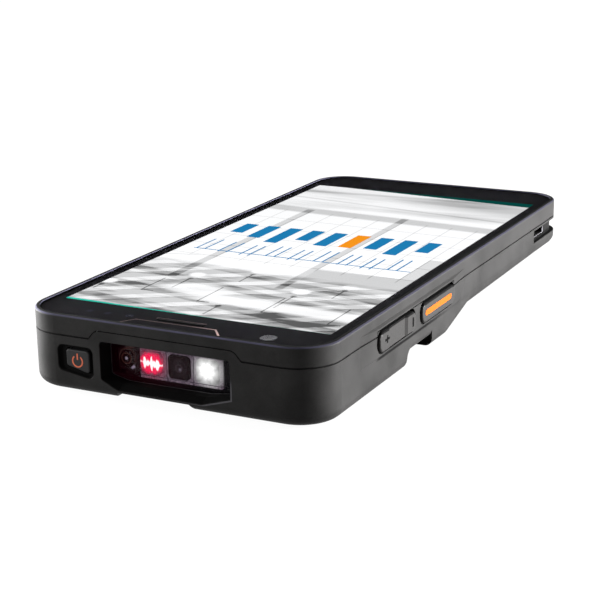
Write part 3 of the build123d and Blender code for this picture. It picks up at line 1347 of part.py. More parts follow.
with BuildPart() as power_key_bracket:
    with BuildSketch(side_plane(POWER_MID_X - POWER_PLATE_W / 2)):
        shape(
            (POWER_PLATE_Y, FLOOR_T),
            (POWER_PLATE_Y, POWER_TOP),
            (POWER_PLATE_Y + KEY_PLATE_T, POWER_TOP),
            (POWER_PLATE_Y + KEY_PLATE_T, FLOOR_T + KEY_PLATE_T),
            (POWER_PLATE_Y + POWER_FOOT, FLOOR_T + KEY_PLATE_T),
            (POWER_PLATE_Y + POWER_FOOT, FLOOR_T),
        )
    extrude(amount=POWER_PLATE_W)
keep(power_key_bracket, "power_key_bracket")

# ================================================================ side keys
with BuildPart() as volume_rocker:
    with BuildSketch(side_plane(FLANGE_X)):
        flange_outline(ROCKER_Y0, ROCKER_Y1)
    extrude(amount=FLANGE_T)
    with BuildSketch(side_plane(FLANGE_X)):
        key_outline(ROCKER_Y0, ROCKER_Y1)
    extrude(amount=KEY_FACE_X - FLANGE_X)
    fillet(volume_rocker.faces().sort_by(Axis.X)[-1].edges(), KEY_EDGE_R)
    with BuildSketch(Plane.XY.offset(KEY_Z0)):
        shape(
            (KEY_FACE_X, ROCKER_Y0 + ROCKER_PAD),
            (KEY_FACE_X - ROCKER_DISH, ROCKER_Y0 + ROCKER_PAD + 2 * ROCKER_DISH),
            (KEY_FACE_X - ROCKER_DISH, ROCKER_Y1 - ROCKER_PAD - 2 * ROCKER_DISH),
            (KEY_FACE_X, ROCKER_Y1 - ROCKER_PAD),
        )
    extrude(amount=KEY_H, mode=Mode.SUBTRACT)
    with BuildSketch(Plane.XY.offset(KEY_Z0)):
        with Locations((FLANGE_X, ROCKER_MID_Y)):
            Circle(FULCRUM_R)
    extrude(amount=KEY_H)
keep(volume_rocker, "volume_rocker")

for side, name in ((1, "right_trigger"), (-1, "left_trigger")):
    with BuildPart() as trigger_key:
        with BuildSketch(side_plane(side * FLANGE_X)):
            flange_outline(TRIGGER_Y0, TRIGGER_Y1)
        extrude(amount=side * FLANGE_T)
        with BuildSketch(side_plane(side * FLANGE_X)):
            key_outline(TRIGGER_Y0, TRIGGER_Y1)
        extrude(amount=side * (KEY_FACE_X - FLANGE_X))
        face = trigger_key.faces().sort_by(Axis((0, 0, 0), (side, 0, 0)))[-1]
        fillet(face.edges(), KEY_EDGE_R)
        with BuildSketch(side_plane(side * KEY_FACE_X)):
            with Locations(((STRIPE_Y0 + STRIPE_Y1) / 2, KEY_MID_Z)):
                SlotOverall(STRIPE_Y1 - STRIPE_Y0, STRIPE_H)
        extrude(amount=-side * STRIPE_DEPTH, mode=Mode.SUBTRACT)
    keep(trigger_key, name)

    with BuildPart() as stripe:
        with BuildSketch(side_plane(side * (KEY_FACE_X - STRIPE_DEPTH))):
            with Locations(((STRIPE_Y0 + STRIPE_Y1) / 2, KEY_MID_Z)):
                SlotOverall(STRIPE_Y1 - STRIPE_Y0, STRIPE_H)
        extrude(amount=side * (STRIPE_DEPTH + STRIPE_PROUD))
    keep(stripe, name + "_stripe")

for side, name, keys, switch_ys, legs in side_keys:
    first, last = keys[0][0], keys[-1][1]
    with BuildPart() as boot:
        with BuildSketch(side_plane(side * BOOT_X)):
            flange_outline(first, last, FIT + BOOT_RIM)
        extrude(amount=side * (INNER_X - BOOT_X))
        for y0, y1 in keys:
            with BuildSketch(side_plane(side * (BOOT_X + BOOT_T))):
                flange_outline(y0, y1, FIT)
            extrude(amount=side * (INNER_X - BOOT_X - BOOT_T), mode=Mode.SUBTRACT)
    keep(boot, name + "_key_boot")

    with BuildPart() as switches:
        with BuildSketch(side_plane(side * FLEX_X)):
            bar(first, last, KEY_MID_Z - SWITCH_R - FIT, KEY_MID_Z + SWITCH_R + FIT)
        extrude(amount=side * FLEX_T)
        with BuildSketch(side_plane(side * SWITCH_X)):
            for y in switch_ys:
                with Locations((y, KEY_MID_Z)):
                    Circle(SWITCH_R)
        extrude(amount=side * SWITCH_T)
    keep(switches, name + "_key_switches")

    with BuildPart() as key_bracket:
        with BuildSketch(side_plane(side * KEY_PLATE_X)):
            bar(first, last, KEY_Z0 - BOOT_RIM, KEY_TOP_Z)
        extrude(amount=side * KEY_PLATE_T)
        for y, floor in legs:
            with BuildSketch(side_plane(side * KEY_PLATE_X)):
                bar(y, y + LEG_W, floor, KEY_Z0)
            extrude(amount=side * KEY_PLATE_T)
            with BuildSketch(side_plane(side * KEY_PLATE_X)):
                bar(y, y + LEG_W, floor, floor + KEY_PLATE_T)
            extrude(amount=side * LEG_FOOT)
    keep(key_bracket, name + "_key_bracket")

# ================================================================ battery and latch
with BuildPart() as battery_pack:
    with BuildSketch(Plane.XY):
        with Locations((0, (BAY_Y0 + BAY_Y1) / 2)):
            RectangleRounded(2 * (BAY_HALF - FIT), BAY_Y1 - BAY_Y0 - 2 * FIT, BAY_R - FIT)
    extrude(amount=PACK_TOP)
    with BuildSketch(side_plane(-HALF_W)):
        behind_back_face()
    extrude(amount=BODY_W, mode=Mode.SUBTRACT)
    fillet(battery_pack.faces().sort_by(Axis.Z)[0].edges(), PACK_EDGE_R)
    with BuildSketch(Plane.XY.offset(HOOK_Z)):
        for side in (-1, 1):
            with Locations((side * HOOK_X, BAY_Y0 + (3 * FIT - HOOK_REACH) / 2)):
                Rectangle(HOOK_W, HOOK_REACH + FIT)
    extrude(amount=HOOK_H)
    with BuildSketch(Plane.XY):
        bar(-TONGUE_HALF - FIT, TONGUE_HALF + FIT, TONGUE_TIP_Y - FIT, BAY_Y1)
    extrude(amount=LATCH_TOP + RUN_GAP, mode=Mode.SUBTRACT)
    with BuildSketch(front_plane(BAY_Y0)):
        bar(-SOCKET_HALF, SOCKET_HALF, BLADE_Z - FIT, BLADE_Z + BLADE_H + FIT)
    extrude(amount=-(BLADE_TIP_Y - BAY_Y0 + FIT), mode=Mode.SUBTRACT)
keep(battery_pack, "battery_pack")

with BuildPart() as battery_latch:
    with BuildSketch(Plane.XY):
        bar(-LATCH_HALF, LATCH_HALF, LATCH_Y, LATCH_Y + LATCH_L)
    extrude(amount=LATCH_TOP)
    with BuildSketch(side_plane(-HALF_W)):
        behind_back_face()
    extrude(amount=BODY_W, mode=Mode.SUBTRACT)
    with BuildSketch(Plane.XY):
        for n in range(LATCH_RIBS):
            y = LATCH_Y + LATCH_L * (n + 1) / (LATCH_RIBS + 1)
            bar(RIB_GAP - LATCH_HALF, LATCH_HALF - RIB_GAP, y - LATCH_RIB / 2, y + LATCH_RIB / 2)
    extrude(amount=tail_z(LATCH_Y) + LATCH_RIB, mode=Mode.SUBTRACT)
    with BuildSketch(Plane.XY.offset(LATCH_RAIL_Z)):
        bar(-LATCH_HALF - LATCH_RAIL, LATCH_HALF + LATCH_RAIL, LATCH_Y, LATCH_Y + LATCH_L)
    extrude(amount=LATCH_RAIL_H)
    with BuildSketch(Plane.XY.offset(TONGUE_Z)):
        bar(-TONGUE_HALF, TONGUE_HALF, TONGUE_TIP_Y, LATCH_Y + FIT)
    extrude(amount=LATCH_TOP - TONGUE_Z)
    tip = battery_latch.faces().sort_by(Axis.Y)[0].edges().sort_by(Axis.Z)[0]
    chamfer(tip, TONGUE_TIP)
keep(battery_latch, "battery_latch")

# ================================================================ boards and what sits on them
with BuildPart() as main_board:
    with BuildSketch(Plane.XY.offset(BOARD_Z)):
        bar(-BOARD_HALF, BOARD_HALF, BOARD_Y0, BOARD_Y1)
        for x, y in board_screw_spots:
            with Locations((x, y)):
                Circle(BOARD_SCREW_R + RUN_GAP, mode=Mode.SUBTRACT)
    extrude(amount=BOARD_T)
keep(main_board, "main_board")

with BuildPart() as board_shields:
    board_top = BOARD_Z + BOARD_T
    for x, y, width, depth in SHIELDS:
        with BuildSketch(Plane.XY.offset(board_top)):
            with Locations((x, y)):
                RectangleRounded(width, depth, 2 * SHIELD_T)
        extrude(amount=SHIELD_H)
        with BuildSketch(Plane.XY.offset(board_top)):
            with Locations((x, y)):
                Rectangle(width - 2 * SHIELD_T, depth - 2 * SHIELD_T)
        extrude(amount=SHIELD_H - SHIELD_T, mode=Mode.SUBTRACT)
keep(board_shields, "board_shields")

with BuildPart() as backup_cell:
    with BuildSketch(Plane.XY.offset(BOARD_Z)):
        with Locations((CELL_X, CELL_Y)):
            Circle(CELL_R)
    extrude(amount=-CELL_H)
    chamfer(backup_cell.faces().sort_by(Axis.Z)[0].edges(), CELL_EDGE)
keep(backup_cell, "backup_cell")

with BuildPart() as battery_connector:
    with BuildSketch(Plane.XY.offset(BOARD_Z)):
        bar(-PLUG_HALF, PLUG_HALF, PLUG_Y0, PLUG_Y1)
    extrude(amount=-PLUG_H)
    with BuildSketch(Plane.XY.offset(BLADE_Z)):
        with Locations((0, (PLUG_Y1 + BLADE_TIP_Y) / 2 - FIT)):
            with GridLocations(BLADE_PITCH, 1, BLADES, 1):
                Rectangle(BLADE_T, BLADE_TIP_Y - PLUG_Y1 + 2 * FIT)
    extrude(amount=BLADE_H)
keep(battery_connector, "battery_connector")

with BuildPart() as sub_board:
    with BuildSketch(Plane.XY.offset(SUB_BOARD_Z)):
        bar(-SUB_BOARD_HALF, SUB_BOARD_HALF, SUB_BOARD_Y0, SUB_BOARD_Y1)
        for x, y, foot in screw_spots:
            with Locations((x, y)):
                Circle(BOSS_R + OPENING_GAP, mode=Mode.SUBTRACT)
    extrude(amount=BOARD_T)
keep(sub_board, "sub_board")

with BuildPart() as usb_receptacle:
    with BuildSketch(front_plane(END_Y - FIT)):
        with Locations((0, USB_MID_Z)):
            SlotOverall(USB_W, USB_H)
    extrude(amount=USB_D)
    with BuildSketch(front_plane(END_Y - FIT)):
        with Locations((0, USB_MID_Z)):
            SlotOverall(USB_W - 2 * USB_SHELL_T, USB_H - 2 * USB_SHELL_T)
    extrude(amount=USB_D - USB_SHELL_T, mode=Mode.SUBTRACT)
    with BuildSketch(front_plane(END_Y - FIT - USB_D + USB_SHELL_T)):
        with Locations((0, USB_MID_Z)):
            RectangleRounded(USB_TONGUE_W, USB_TONGUE_T, USB_TONGUE_R)
    extrude(amount=-(USB_D - USB_SHELL_T - USB_TONGUE_T))
keep(usb_receptacle, "usb_receptacle")

with BuildPart() as charging_contacts:
    for x in contact_xs:
        with BuildSketch(Plane.XY.offset(tail_z(CONTACT_Y) + RUN_GAP)):
            with Locations((x, CONTACT_Y)):
                Circle(CONTACT_R)
        extrude(amount=CONTACT_TOP - tail_z(CONTACT_Y) - RUN_GAP)
        with BuildSketch(Plane.XY.offset(TAIL_Z + FLOOR_T)):
            with Locations((x, CONTACT_Y)):
                Circle(CONTACT_FLANGE_R)
        extrude(amount=FLEX_T)
keep(charging_contacts, "charging_contacts")

with BuildPart() as link_flex:
    plug_z = BOARD_Z + BOARD_T
    with BuildSketch(Plane.XY.offset(LINK_Z)):
        bar(LINK_X - LINK_W / 2, LINK_X + LINK_W / 2, LINK_Y0, LINK_Y1)
    extrude(amount=FLEX_T)
    for y, z in ((LINK_Y0, plug_z), (LINK_Y1 - LINK_PLUG, SUB_BOARD_Z + BOARD_T)):
        with BuildSketch(Plane.XY.offset(z)):
            bar(LINK_X - LINK_W / 2, LINK_X + LINK_W / 2, y, y + LINK_PLUG)
        extrude(amount=LINK_Z - z)
keep(link_flex, "link_flex")

with BuildPart() as display_flex:
    foot_z = SUB_BOARD_Z + BOARD_T
    with BuildSketch(side_plane(-FLEX_W / 2)):
        shape(
            (FLEX_END_Y, FRAME_TOP),
            (FLEX_END_Y, FRAME_TOP + FLEX_T),
            (FLEX_BEND_Y, FRAME_TOP + FLEX_T),
            (FLEX_BEND_Y, foot_z),
            (FLEX_FOOT_Y, foot_z),
            (FLEX_FOOT_Y, foot_z + FLEX_T),
            (FLEX_BEND_Y - FLEX_T, foot_z + FLEX_T),
            (FLEX_BEND_Y - FLEX_T, FRAME_TOP),
        )
    extrude(amount=FLEX_W)
keep(display_flex, "display_flex")

with BuildPart() as nfc_antenna:
    with BuildSketch(Plane.XY.offset(RIDGE_Z + FLOOR_T)):
        with Locations((0, (RIDGE_Y0 + WALL + RIDGE_Y1) / 2)):
            RectangleRounded(COIL_W, COIL_D, COIL_BAND)
            Rectangle(COIL_W - 2 * COIL_BAND, COIL_D - 2 * COIL_BAND, mode=Mode.SUBTRACT)
    extrude(amount=COIL_T)
keep(nfc_antenna, "nfc_antenna")

with BuildPart() as main_antenna:
    with BuildSketch(side_plane(INNER_X)):
        bar(ANTENNA_Y0, ANTENNA_Y1, SEAL_SHELF_Z - SEAL_SHELF_H - ANTENNA_H, SEAL_SHELF_Z - SEAL_SHELF_H)
    extrude(amount=-FLEX_T)
keep(main_antenna, "main_antenna")

with BuildPart() as vibration_motor:
    motor_z = TAIL_Z + FLOOR_T + MOTOR_R + FLEX_T
    with BuildSketch(front_plane(MOTOR_Y - MOTOR_L / 2)):
        with Locations((MOTOR_X, motor_z)):
            Circle(MOTOR_R)
        bar(MOTOR_X - MOTOR_R, MOTOR_X + MOTOR_R, TAIL_Z + FLOOR_T, motor_z - MOTOR_R / 2)
    extrude(amount=-MOTOR_L)
keep(vibration_motor, "vibration_motor")

# ================================================================ rear camera, flash, sound
with BuildPart() as rear_camera_window:
    with BuildSketch(Plane.XY.offset(CHANNEL_DEPTH + CAM_WINDOW_SET)):
        with Locations((REAR_CAM_X, REAR_CAM_Y)):
            Circle(CAM_WINDOW_R)
    extrude(amount=CAM_WINDOW_T)
keep(rear_camera_window, "rear_camera_window")

with BuildPart() as rear_camera:
    with BuildSketch(Plane.XY.offset(CHANNEL_FLOOR)):
        with Locations((REAR_CAM_X, REAR_CAM_Y)):
            RectangleRounded(REAR_CAM_SIDE, REAR_CAM_SIDE, SMALL_R)
    extrude(amount=REAR_CAM_H)
    with BuildSketch(Plane.XY.offset(CHANNEL_FLOOR)):
        with Locations((REAR_CAM_X, REAR_CAM_Y)):
            Circle(REAR_CAM_LENS_R)
    extrude(amount=-LENS_PLATE_T)
keep(rear_camera, "rear_camera")

with BuildPart() as flash_led:
    with BuildSketch(Plane.XY.offset(CHANNEL_DEPTH + RUN_GAP)):
        with Locations((FLASH_X, REAR_CAM_Y)):
            Circle(FLASH_R)
    extrude(amount=WALL)
    with BuildSketch(Plane.XY.offset(CHANNEL_FLOOR)):
        with Locations((FLASH_X, REAR_CAM_Y)):
            RectangleRounded(FLASH_SIDE, FLASH_SIDE, SMALL_R)
    extrude(amount=SENSOR_BASE_T)
keep(flash_led, "flash_led")

with BuildPart() as speaker_mesh:
    with BuildSketch(Plane.XY.offset(FLOOR_T)):
        with Locations((SPEAKER_X, SPEAKER_Y)):
            RectangleRounded(GRILLE_W + 2 * MESH_LAP, GRILLE_SLOT_L + 2 * MESH_LAP, BOX_R)
    extrude(amount=MESH_T)
keep(speaker_mesh, "speaker_mesh")

with BuildPart() as loudspeaker:
    with BuildSketch(Plane.XY.offset(FLOOR_T + MESH_T)):
        with Locations((SPEAKER_X, SPEAKER_Y)):
            RectangleRounded(SPEAKER_W, SPEAKER_D, BOX_R)
    extrude(amount=SPEAKER_H)
    with BuildSketch(Plane.XY.offset(FLOOR_T + MESH_T)):
        with Locations((SPEAKER_X, SPEAKER_Y)):
            RectangleRounded(GRILLE_W, GRILLE_SLOT_L, BOX_R)
    extrude(amount=SPEAKER_FRONT, mode=Mode.SUBTRACT)
keep(loudspeaker, "loudspeaker")

with BuildPart() as microphones:
    with BuildSketch(front_plane(END_Y - WALL)):
        with Locations((MIC_END_X, USB_MID_Z)):
            Rectangle(MIC_W, MIC_H)
    extrude(amount=MIC_T)
    with BuildSketch(Plane.XY.offset(FLOOR_T)):
        with Locations(MIC_FLOOR_SPOT):
            Rectangle(MIC_W, MIC_H)
    extrude(amount=MIC_T)
keep(microphones, "microphones")
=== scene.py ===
"""Barcode data terminal: finishes, printed glass, lit screen, key marks, studio light and camera.

The object lies on its back with the screen up, and the scanner end points to -Y. Sizes are in millimetres
where no other unit is said.
"""
import math

import bmesh
import bpy
from mathutils import Matrix, Vector


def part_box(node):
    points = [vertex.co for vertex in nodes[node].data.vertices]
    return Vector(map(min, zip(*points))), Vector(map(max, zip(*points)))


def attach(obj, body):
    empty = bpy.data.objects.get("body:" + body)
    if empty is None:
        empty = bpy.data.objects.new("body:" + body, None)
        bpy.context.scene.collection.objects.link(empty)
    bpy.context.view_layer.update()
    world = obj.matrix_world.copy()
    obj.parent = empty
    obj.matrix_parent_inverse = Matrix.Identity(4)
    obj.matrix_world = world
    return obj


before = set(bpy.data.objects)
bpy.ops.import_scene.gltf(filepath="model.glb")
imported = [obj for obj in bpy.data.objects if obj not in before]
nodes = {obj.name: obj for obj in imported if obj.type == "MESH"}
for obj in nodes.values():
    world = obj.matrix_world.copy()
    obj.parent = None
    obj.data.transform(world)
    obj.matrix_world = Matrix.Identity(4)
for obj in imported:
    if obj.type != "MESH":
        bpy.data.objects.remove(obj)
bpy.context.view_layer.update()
MM = 0.001


# ---------------------------------------------------------------- shader sums
class Wire:
    """The output of a shader node. Sums on it add their own Math nodes."""

    def __init__(self, finish, socket):
        self.finish = finish
        self.socket = socket

    def __add__(self, other):
        return self.finish.sum("ADD", self, other)

    def __sub__(self, other):
        return self.finish.sum("SUBTRACT", self, other)

    def __rsub__(self, other):
        return self.finish.sum("SUBTRACT", other, self)

    def __mul__(self, other):
        return self.finish.sum("MULTIPLY", self, other)

    def __truediv__(self, other):
        return self.finish.sum("DIVIDE", self, other)

    def __pow__(self, other):
        return self.finish.sum("POWER", self, other)

    def __abs__(self):
        return self.finish.sum("ABSOLUTE", self)

    __radd__ = __add__
    __rmul__ = __mul__


class Finish:
    """One material: a Principled shader, the constants on its sockets, and the nodes that vary it."""

    def __init__(self, name, **constants):
        self.material = bpy.data.materials.new(name)
        self.material.use_nodes = True
        self.tree = self.material.node_tree
        self.shader = self.tree.nodes["Principled BSDF"]
        for socket, value in constants.items():
            self.wire(self.shader.inputs[socket.replace("_", " ")], value)

    def wire(self, socket, value):
        if isinstance(value, Wire):
            self.tree.links.new(value.socket, socket)
        else:
            socket.default_value = value

    def node(self, kind, settings, sockets, output=0):
        """Adds a node, sets its settings, then its sockets, and gives the wire of one output."""
        made = self.tree.nodes.new("ShaderNode" + kind)
        for name, value in settings.items():
            setattr(made, name, value)
        for name, value in sockets.items():
            self.wire(made.inputs[name], value)
        return Wire(self, made.outputs[output])

    def sum(self, operation, first, second=0.0):
        return self.node("Math", {"operation": operation}, {0: first, 1: second})

    def vary(self, **sockets):
        for socket, value in sockets.items():
            self.wire(self.shader.inputs[socket.replace("_", " ")], value)
        return self

    def joined(self, socket):
        """The wire that already runs into a socket of the shader."""
        return Wire(self, self.shader.inputs[socket].links[0].from_socket)

    def place(self):
        """The point on the object in millimetres, as a vector."""
        metres = self.node("TexCoord", {}, {}, "Object")
        return self.node("VectorMath", {"operation": "SCALE"}, {0: metres, "Scale": 1 / MM})

    def axes(self, place=None):
        """The same point as three numbers."""
        place = place or self.place()
        split = self.tree.nodes.new("ShaderNodeSeparateXYZ")
        self.wire(split.inputs[0], place)
        return [Wire(self, output) for output in split.outputs]

    def stretched(self, x, y, z):
        """The point with each axis scaled, for streaks that run one way."""
        return self.node("VectorMath", {"operation": "MULTIPLY"}, {0: self.place(), 1: (x, y, z)})

    def noise(self, per_mm, detail=2.0, place=None):
        return self.node(
            "TexNoise", {}, {"Vector": place or self.place(), "Scale": per_mm, "Detail": detail}
        )

    def ramp(self, value, low, high, start=0.0, end=1.0):
        """value from low to high becomes start to end, and stays there outside."""
        return self.node("MapRange", {"clamp": True}, {0: value, 1: low, 2: high, 3: start, 4: end})

    def band(self, value, low, high, soft=0.05):
        """1 between low and high, 0 outside, with soft edges."""
        rise = self.ramp(value, low - soft / 2, low + soft / 2)
        fall = self.ramp(value, high - soft / 2, high + soft / 2, 1.0, 0.0)
        return rise * fall

    def mix(self, mask, below, above):
        return self.node("Mix", {"data_type": "RGBA"}, {0: mask, 6: below, 7: above}, 2)

    def bump(self, height, strength, depth_mm):
        return self.node(
            "Bump", {}, {"Strength": strength, "Distance": depth_mm * MM, "Height": height}
        )

    def distance(self, a, a0, b, b0):
        return ((a - a0) * (a - a0) + (b - b0) * (b - b0)) ** 0.5

    def outside(self, a, b, middle, half, radius):
        """How far a point is out of a corner-rounded box, below zero inside it."""
        p = abs(a - middle[0]) - (half[0] - radius)
        q = abs(b - middle[1]) - (half[1] - radius)
        corner = self.distance(self.sum("MAXIMUM", p), 0.0, self.sum("MAXIMUM", q), 0.0)
        return corner + self.sum("MINIMUM", self.sum("MAXIMUM", p, q)) - radius

    def blacken(self, mask):
        """Turns the surface matt black where mask is 1: painted shade in holes, grooves and gaps, and black
        paint.
        """
        black = {"Base Color": grey(0.002), "Roughness": 0.9, "Specular IOR Level": 0.04}
        dark = self.node("BsdfPrincipled", {}, black)
        both = self.node("MixShader", {}, {0: mask, 1: Wire(self, self.shader.outputs[0]), 2: dark})
        self.tree.links.new(both.socket, self.tree.nodes["Material Output"].inputs["Surface"])
        return self


def grey(value, alpha=1.0):
    return (value, value, value, alpha)


# ---------------------------------------------------------------- finishes
def moulded_plastic(name, dark, light, rough=0.5, sparkle=5.0, gloss=0.35):
    """Fine spark-eroded texture of a black moulding, a little mottled and rubbed."""
    made = Finish(name, Specular_IOR_Level=gloss)
    mottle = made.noise(0.12, 3.0)
    grain = made.noise(sparkle, 2.0)
    tone = made.ramp(mottle * 0.7 + grain * 0.3, 0.35, 0.65)
    made.vary(
        Base_Color=made.mix(tone, dark, light),
        Roughness=made.ramp(grain * 0.5 + mottle * 0.5, 0.3, 0.7, rough - 0.06, rough + 0.06),
        Normal=made.bump(grain, 0.35, 0.012),
    )
    return made


def soft_rubber(name, colour, rough=0.55, gloss=0.4):
    made = Finish(name, Specular_IOR_Level=gloss)
    skin = made.noise(2.5, 3.0)
    made.vary(
        Base_Color=made.mix(skin, colour, tuple(1.35 * c for c in colour[:3]) + (1.0,)),
        Roughness=made.ramp(skin, 0.3, 0.7, rough - 0.07, rough + 0.07),
        Normal=made.bump(skin, 0.2, 0.01),
    )
    return made


def worked_metal(name, colour, rough=0.32, along=(0.4, 6.0, 6.0)):
    """Rolled or drawn metal: fine streaks one way, and a slightly cloudy sheen."""
    made = Finish(name, Metallic=1.0)
    streaks = made.noise(1.0, 4.0, made.stretched(*along))
    cloud = made.noise(0.35, 2.0)
    shade = made.ramp(streaks * 0.6 + cloud * 0.4, 0.3, 0.7)
    darker = tuple(0.78 * c for c in colour[:3]) + (1.0,)
    made.vary(
        Base_Color=made.mix(shade, darker, colour),
        Roughness=made.ramp(streaks, 0.3, 0.7, rough - 0.08, rough + 0.1),
        Normal=made.bump(streaks, 0.15, 0.005),
    )
    return made


def woven_mesh(name, metallic):
    """Fine black cloth over the sound holes."""
    made = Finish(name, Metallic=metallic, Specular_IOR_Level=0.1)
    x, y, z = made.axes()
    warp = abs(made.sum("SINE", x * 16.0))
    weft = abs(made.sum("SINE", y * 16.0))
    height = made.sum("MAXIMUM", warp, weft)
    made.vary(
        Base_Color=made.mix(height, grey(0.004), (0.05, 0.05, 0.055, 1.0)),
        Roughness=made.ramp(height, 0.0, 1.0, 0.8, 0.5),
        Normal=made.bump(height, 0.8, 0.05),
    )
    return made


def solder_mask(name):
    """Green board with copper tracks under the mask and small parts' pads."""
    made = Finish(name, Specular_IOR_Level=0.5, Coat_Weight=0.3)
    x, y, z = made.axes()
    cells = made.node(
        "TexVoronoi", {"distance": "MANHATTAN"}, {"Vector": made.place(), "Scale": 0.5}, "Distance"
    )
    tracks = made.band(made.sum("FRACT", cells * 4.0), 0.3, 0.5, 0.08)
    pads = made.band(made.sum("FRACT", x * 0.45), 0.2, 0.5) * made.band(
        made.sum("FRACT", y * 0.3), 0.1, 0.3
    )
    mask = made.mix(tracks, (0.008, 0.07, 0.035, 1.0), (0.02, 0.14, 0.07, 1.0))
    made.vary(
        Base_Color=made.mix(pads, mask, (0.62, 0.46, 0.2, 1.0)),
        Roughness=made.ramp(pads, 0.0, 1.0, 0.32, 0.2),
        Normal=made.bump(tracks, 0.4, 0.03),
    )
    return made


def film_circuit(name, colour=(0.42, 0.17, 0.03, 1.0)):
    """Amber film with rows of copper lines in it."""
    made = Finish(name, Specular_IOR_Level=0.5)
    x, y, z = made.axes()
    lines = made.band(made.sum("FRACT", (x + z) * 1.6), 0.2, 0.55, 0.1)
    cloud = made.noise(0.6, 2.0)
    copper = made.mix(cloud, (0.5, 0.24, 0.09, 1.0), (0.62, 0.32, 0.13, 1.0))
    made.vary(
        Base_Color=made.mix(lines, colour, copper),
        Roughness=made.ramp(cloud, 0.3, 0.7, 0.28, 0.42),
        Normal=made.bump(lines, 0.3, 0.02),
    )
    return made


def optical_glass(name, tint, centre, radius):
    """Coated lens in the back: a dark barrel, a tinted crown and faint coating rings."""
    made = Finish(name, Specular_IOR_Level=0.5)
    x, y, z = made.axes()
    reach = made.distance(x, centre[0], y, centre[1])
    rings = made.band(made.sum("FRACT", reach * (1.6 / radius)), 0.35, 0.5, 0.1)
    core = made.ramp(reach, radius * 0.25, radius * 0.6, 1.0, 0.0)
    barrel = rings * made.ramp(reach, radius, radius * 1.1, 1.0, 0.0)
    dark = made.mix(barrel, (0.0022, 0.0004, 0.0006, 1.0), (0.02, 0.014, 0.02, 1.0))
    made.vary(Base_Color=made.mix(core, dark, tint))
    made.vary(Roughness=made.ramp(reach, radius * 0.6, radius, 0.08, 0.6))
    return made


def imager_glass():
    """Imager lens: a reddish black crown with two faint painted ring reflections and one small painted
    highlight.
    """
    made = Finish("imager_glass", Specular_IOR_Level=0.02, Roughness=0.3, Emission_Strength=1.0)
    x, y, z = made.axes()
    reach = made.distance(x, 0.1, z, LENS_Z - 0.1)
    # Painted reflections as emission: two faint rings and one small highlight.
    rings = made.band(reach, 0.75, 0.95, 0.15) + made.band(reach, 1.7, 1.85, 0.15) * 0.4
    spot = made.ramp(made.distance(x, 0.35, z, LENS_Z - 0.35), 0.1, 0.45, 0.8, 0.0)
    haze = made.ramp(made.noise(1.2, 3.0), 0.35, 0.7)
    dark = made.mix(haze, (0.002, 0.0003, 0.0006, 1.0), (0.009, 0.002, 0.003, 1.0))
    painted_light = made.mix(rings, dark, (0.075, 0.052, 0.066, 1.0))
    made.vary(Base_Color=dark, Emission_Color=made.mix(spot, painted_light, (0.24, 0.2, 0.26, 1.0)))
    return made


# ---------------------------------------------------------------- mesh helpers
def new_piece(name, mesh, finish, body):
    piece = bpy.data.objects.new(name, mesh)
    bpy.context.scene.collection.objects.link(piece)
    mesh.materials.append(finish.material)
    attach(piece, body)
    return piece


def sheet_mesh(name, loops, lift, thick):
    """A thin sheet from closed outlines, the first outside and the rest holes.

    lift turns a point of an outline and a depth into a point in space.
    """
    shape = bmesh.new()
    edges = []
    for loop in loops:
        corners = [shape.verts.new(Vector(lift(a, b, 0.0)) * MM) for a, b in loop]
        edges += [shape.edges.new(pair) for pair in zip(corners, corners[1:] + corners[:1])]
    bmesh.ops.triangle_fill(shape, use_beauty=True, use_dissolve=False, edges=edges)
    if thick:
        faces = shape.faces[:]
        grown = bmesh.ops.extrude_face_region(shape, geom=faces)
        moved = [part for part in grown["geom"] if isinstance(part, bmesh.types.BMVert)]
        away = (Vector(lift(0.0, 0.0, thick)) - Vector(lift(0.0, 0.0, 0.0))) * MM
        bmesh.ops.translate(shape, vec=away, verts=moved)
        bmesh.ops.recalc_face_normals(shape, faces=shape.faces)
    mesh = bpy.data.meshes.new(name)
    shape.to_mesh(mesh)
    shape.free()
    return mesh


def on_top(level):
    """Outlines in x and y, lying on a level and thickened upwards."""
    return lambda a, b, depth: (a, b, level + depth)


def on_front(y):
    """Outlines in x and z, standing on the near face and thickened towards -Y."""
    return lambda a, b, depth: (a, y - depth, b)


def on_right(x):
    """Outlines in y and z, standing on the right face and thickened towards +X."""
    return lambda a, b, depth: (x + depth, a, b)


def round_box(x0, x1, y0, y1, radius, steps=8):
    """Corner-rounded box outline, anticlockwise."""
    points = []
    for cx, cy, start in (
        (x1 - radius, y0 + radius, -90),
        (x1 - radius, y1 - radius, 0),
        (x0 + radius, y1 - radius, 90),
        (x0 + radius, y0 + radius, 180),
    ):
        for step in range(steps + 1):
            angle = math.radians(start + 90 * step / steps)
            points.append((cx + radius * math.cos(angle), cy + radius * math.sin(angle)))
    return points


def disc(x, y, radius, steps=40):
    turns = [2 * math.pi * step / steps for step in range(steps)]
    return [(x + radius * math.cos(t), y + radius * math.sin(t)) for t in turns]


def stroke(points, widths):
    """Outline of a line through the points, as wide at each as widths says, with mitred corners."""
    left, right = [], []
    for index, (x, y) in enumerate(points):
        ahead = Vector(points[min(index + 1, len(points) - 1)]) - Vector((x, y))
        behind = Vector((x, y)) - Vector(points[max(index - 1, 0)])
        ahead = ahead.normalized() if ahead.length else behind.normalized()
        behind = behind.normalized() if behind.length else ahead
        middle = (ahead + behind).normalized()
        reach = widths[index] / 2 / max(middle.dot(ahead), 0.3)
        side = Vector((-middle.y, middle.x)) * reach
        left.append((x + side.x, y + side.y))
        right.append((x - side.x, y - side.y))
    return left + right[::-1]


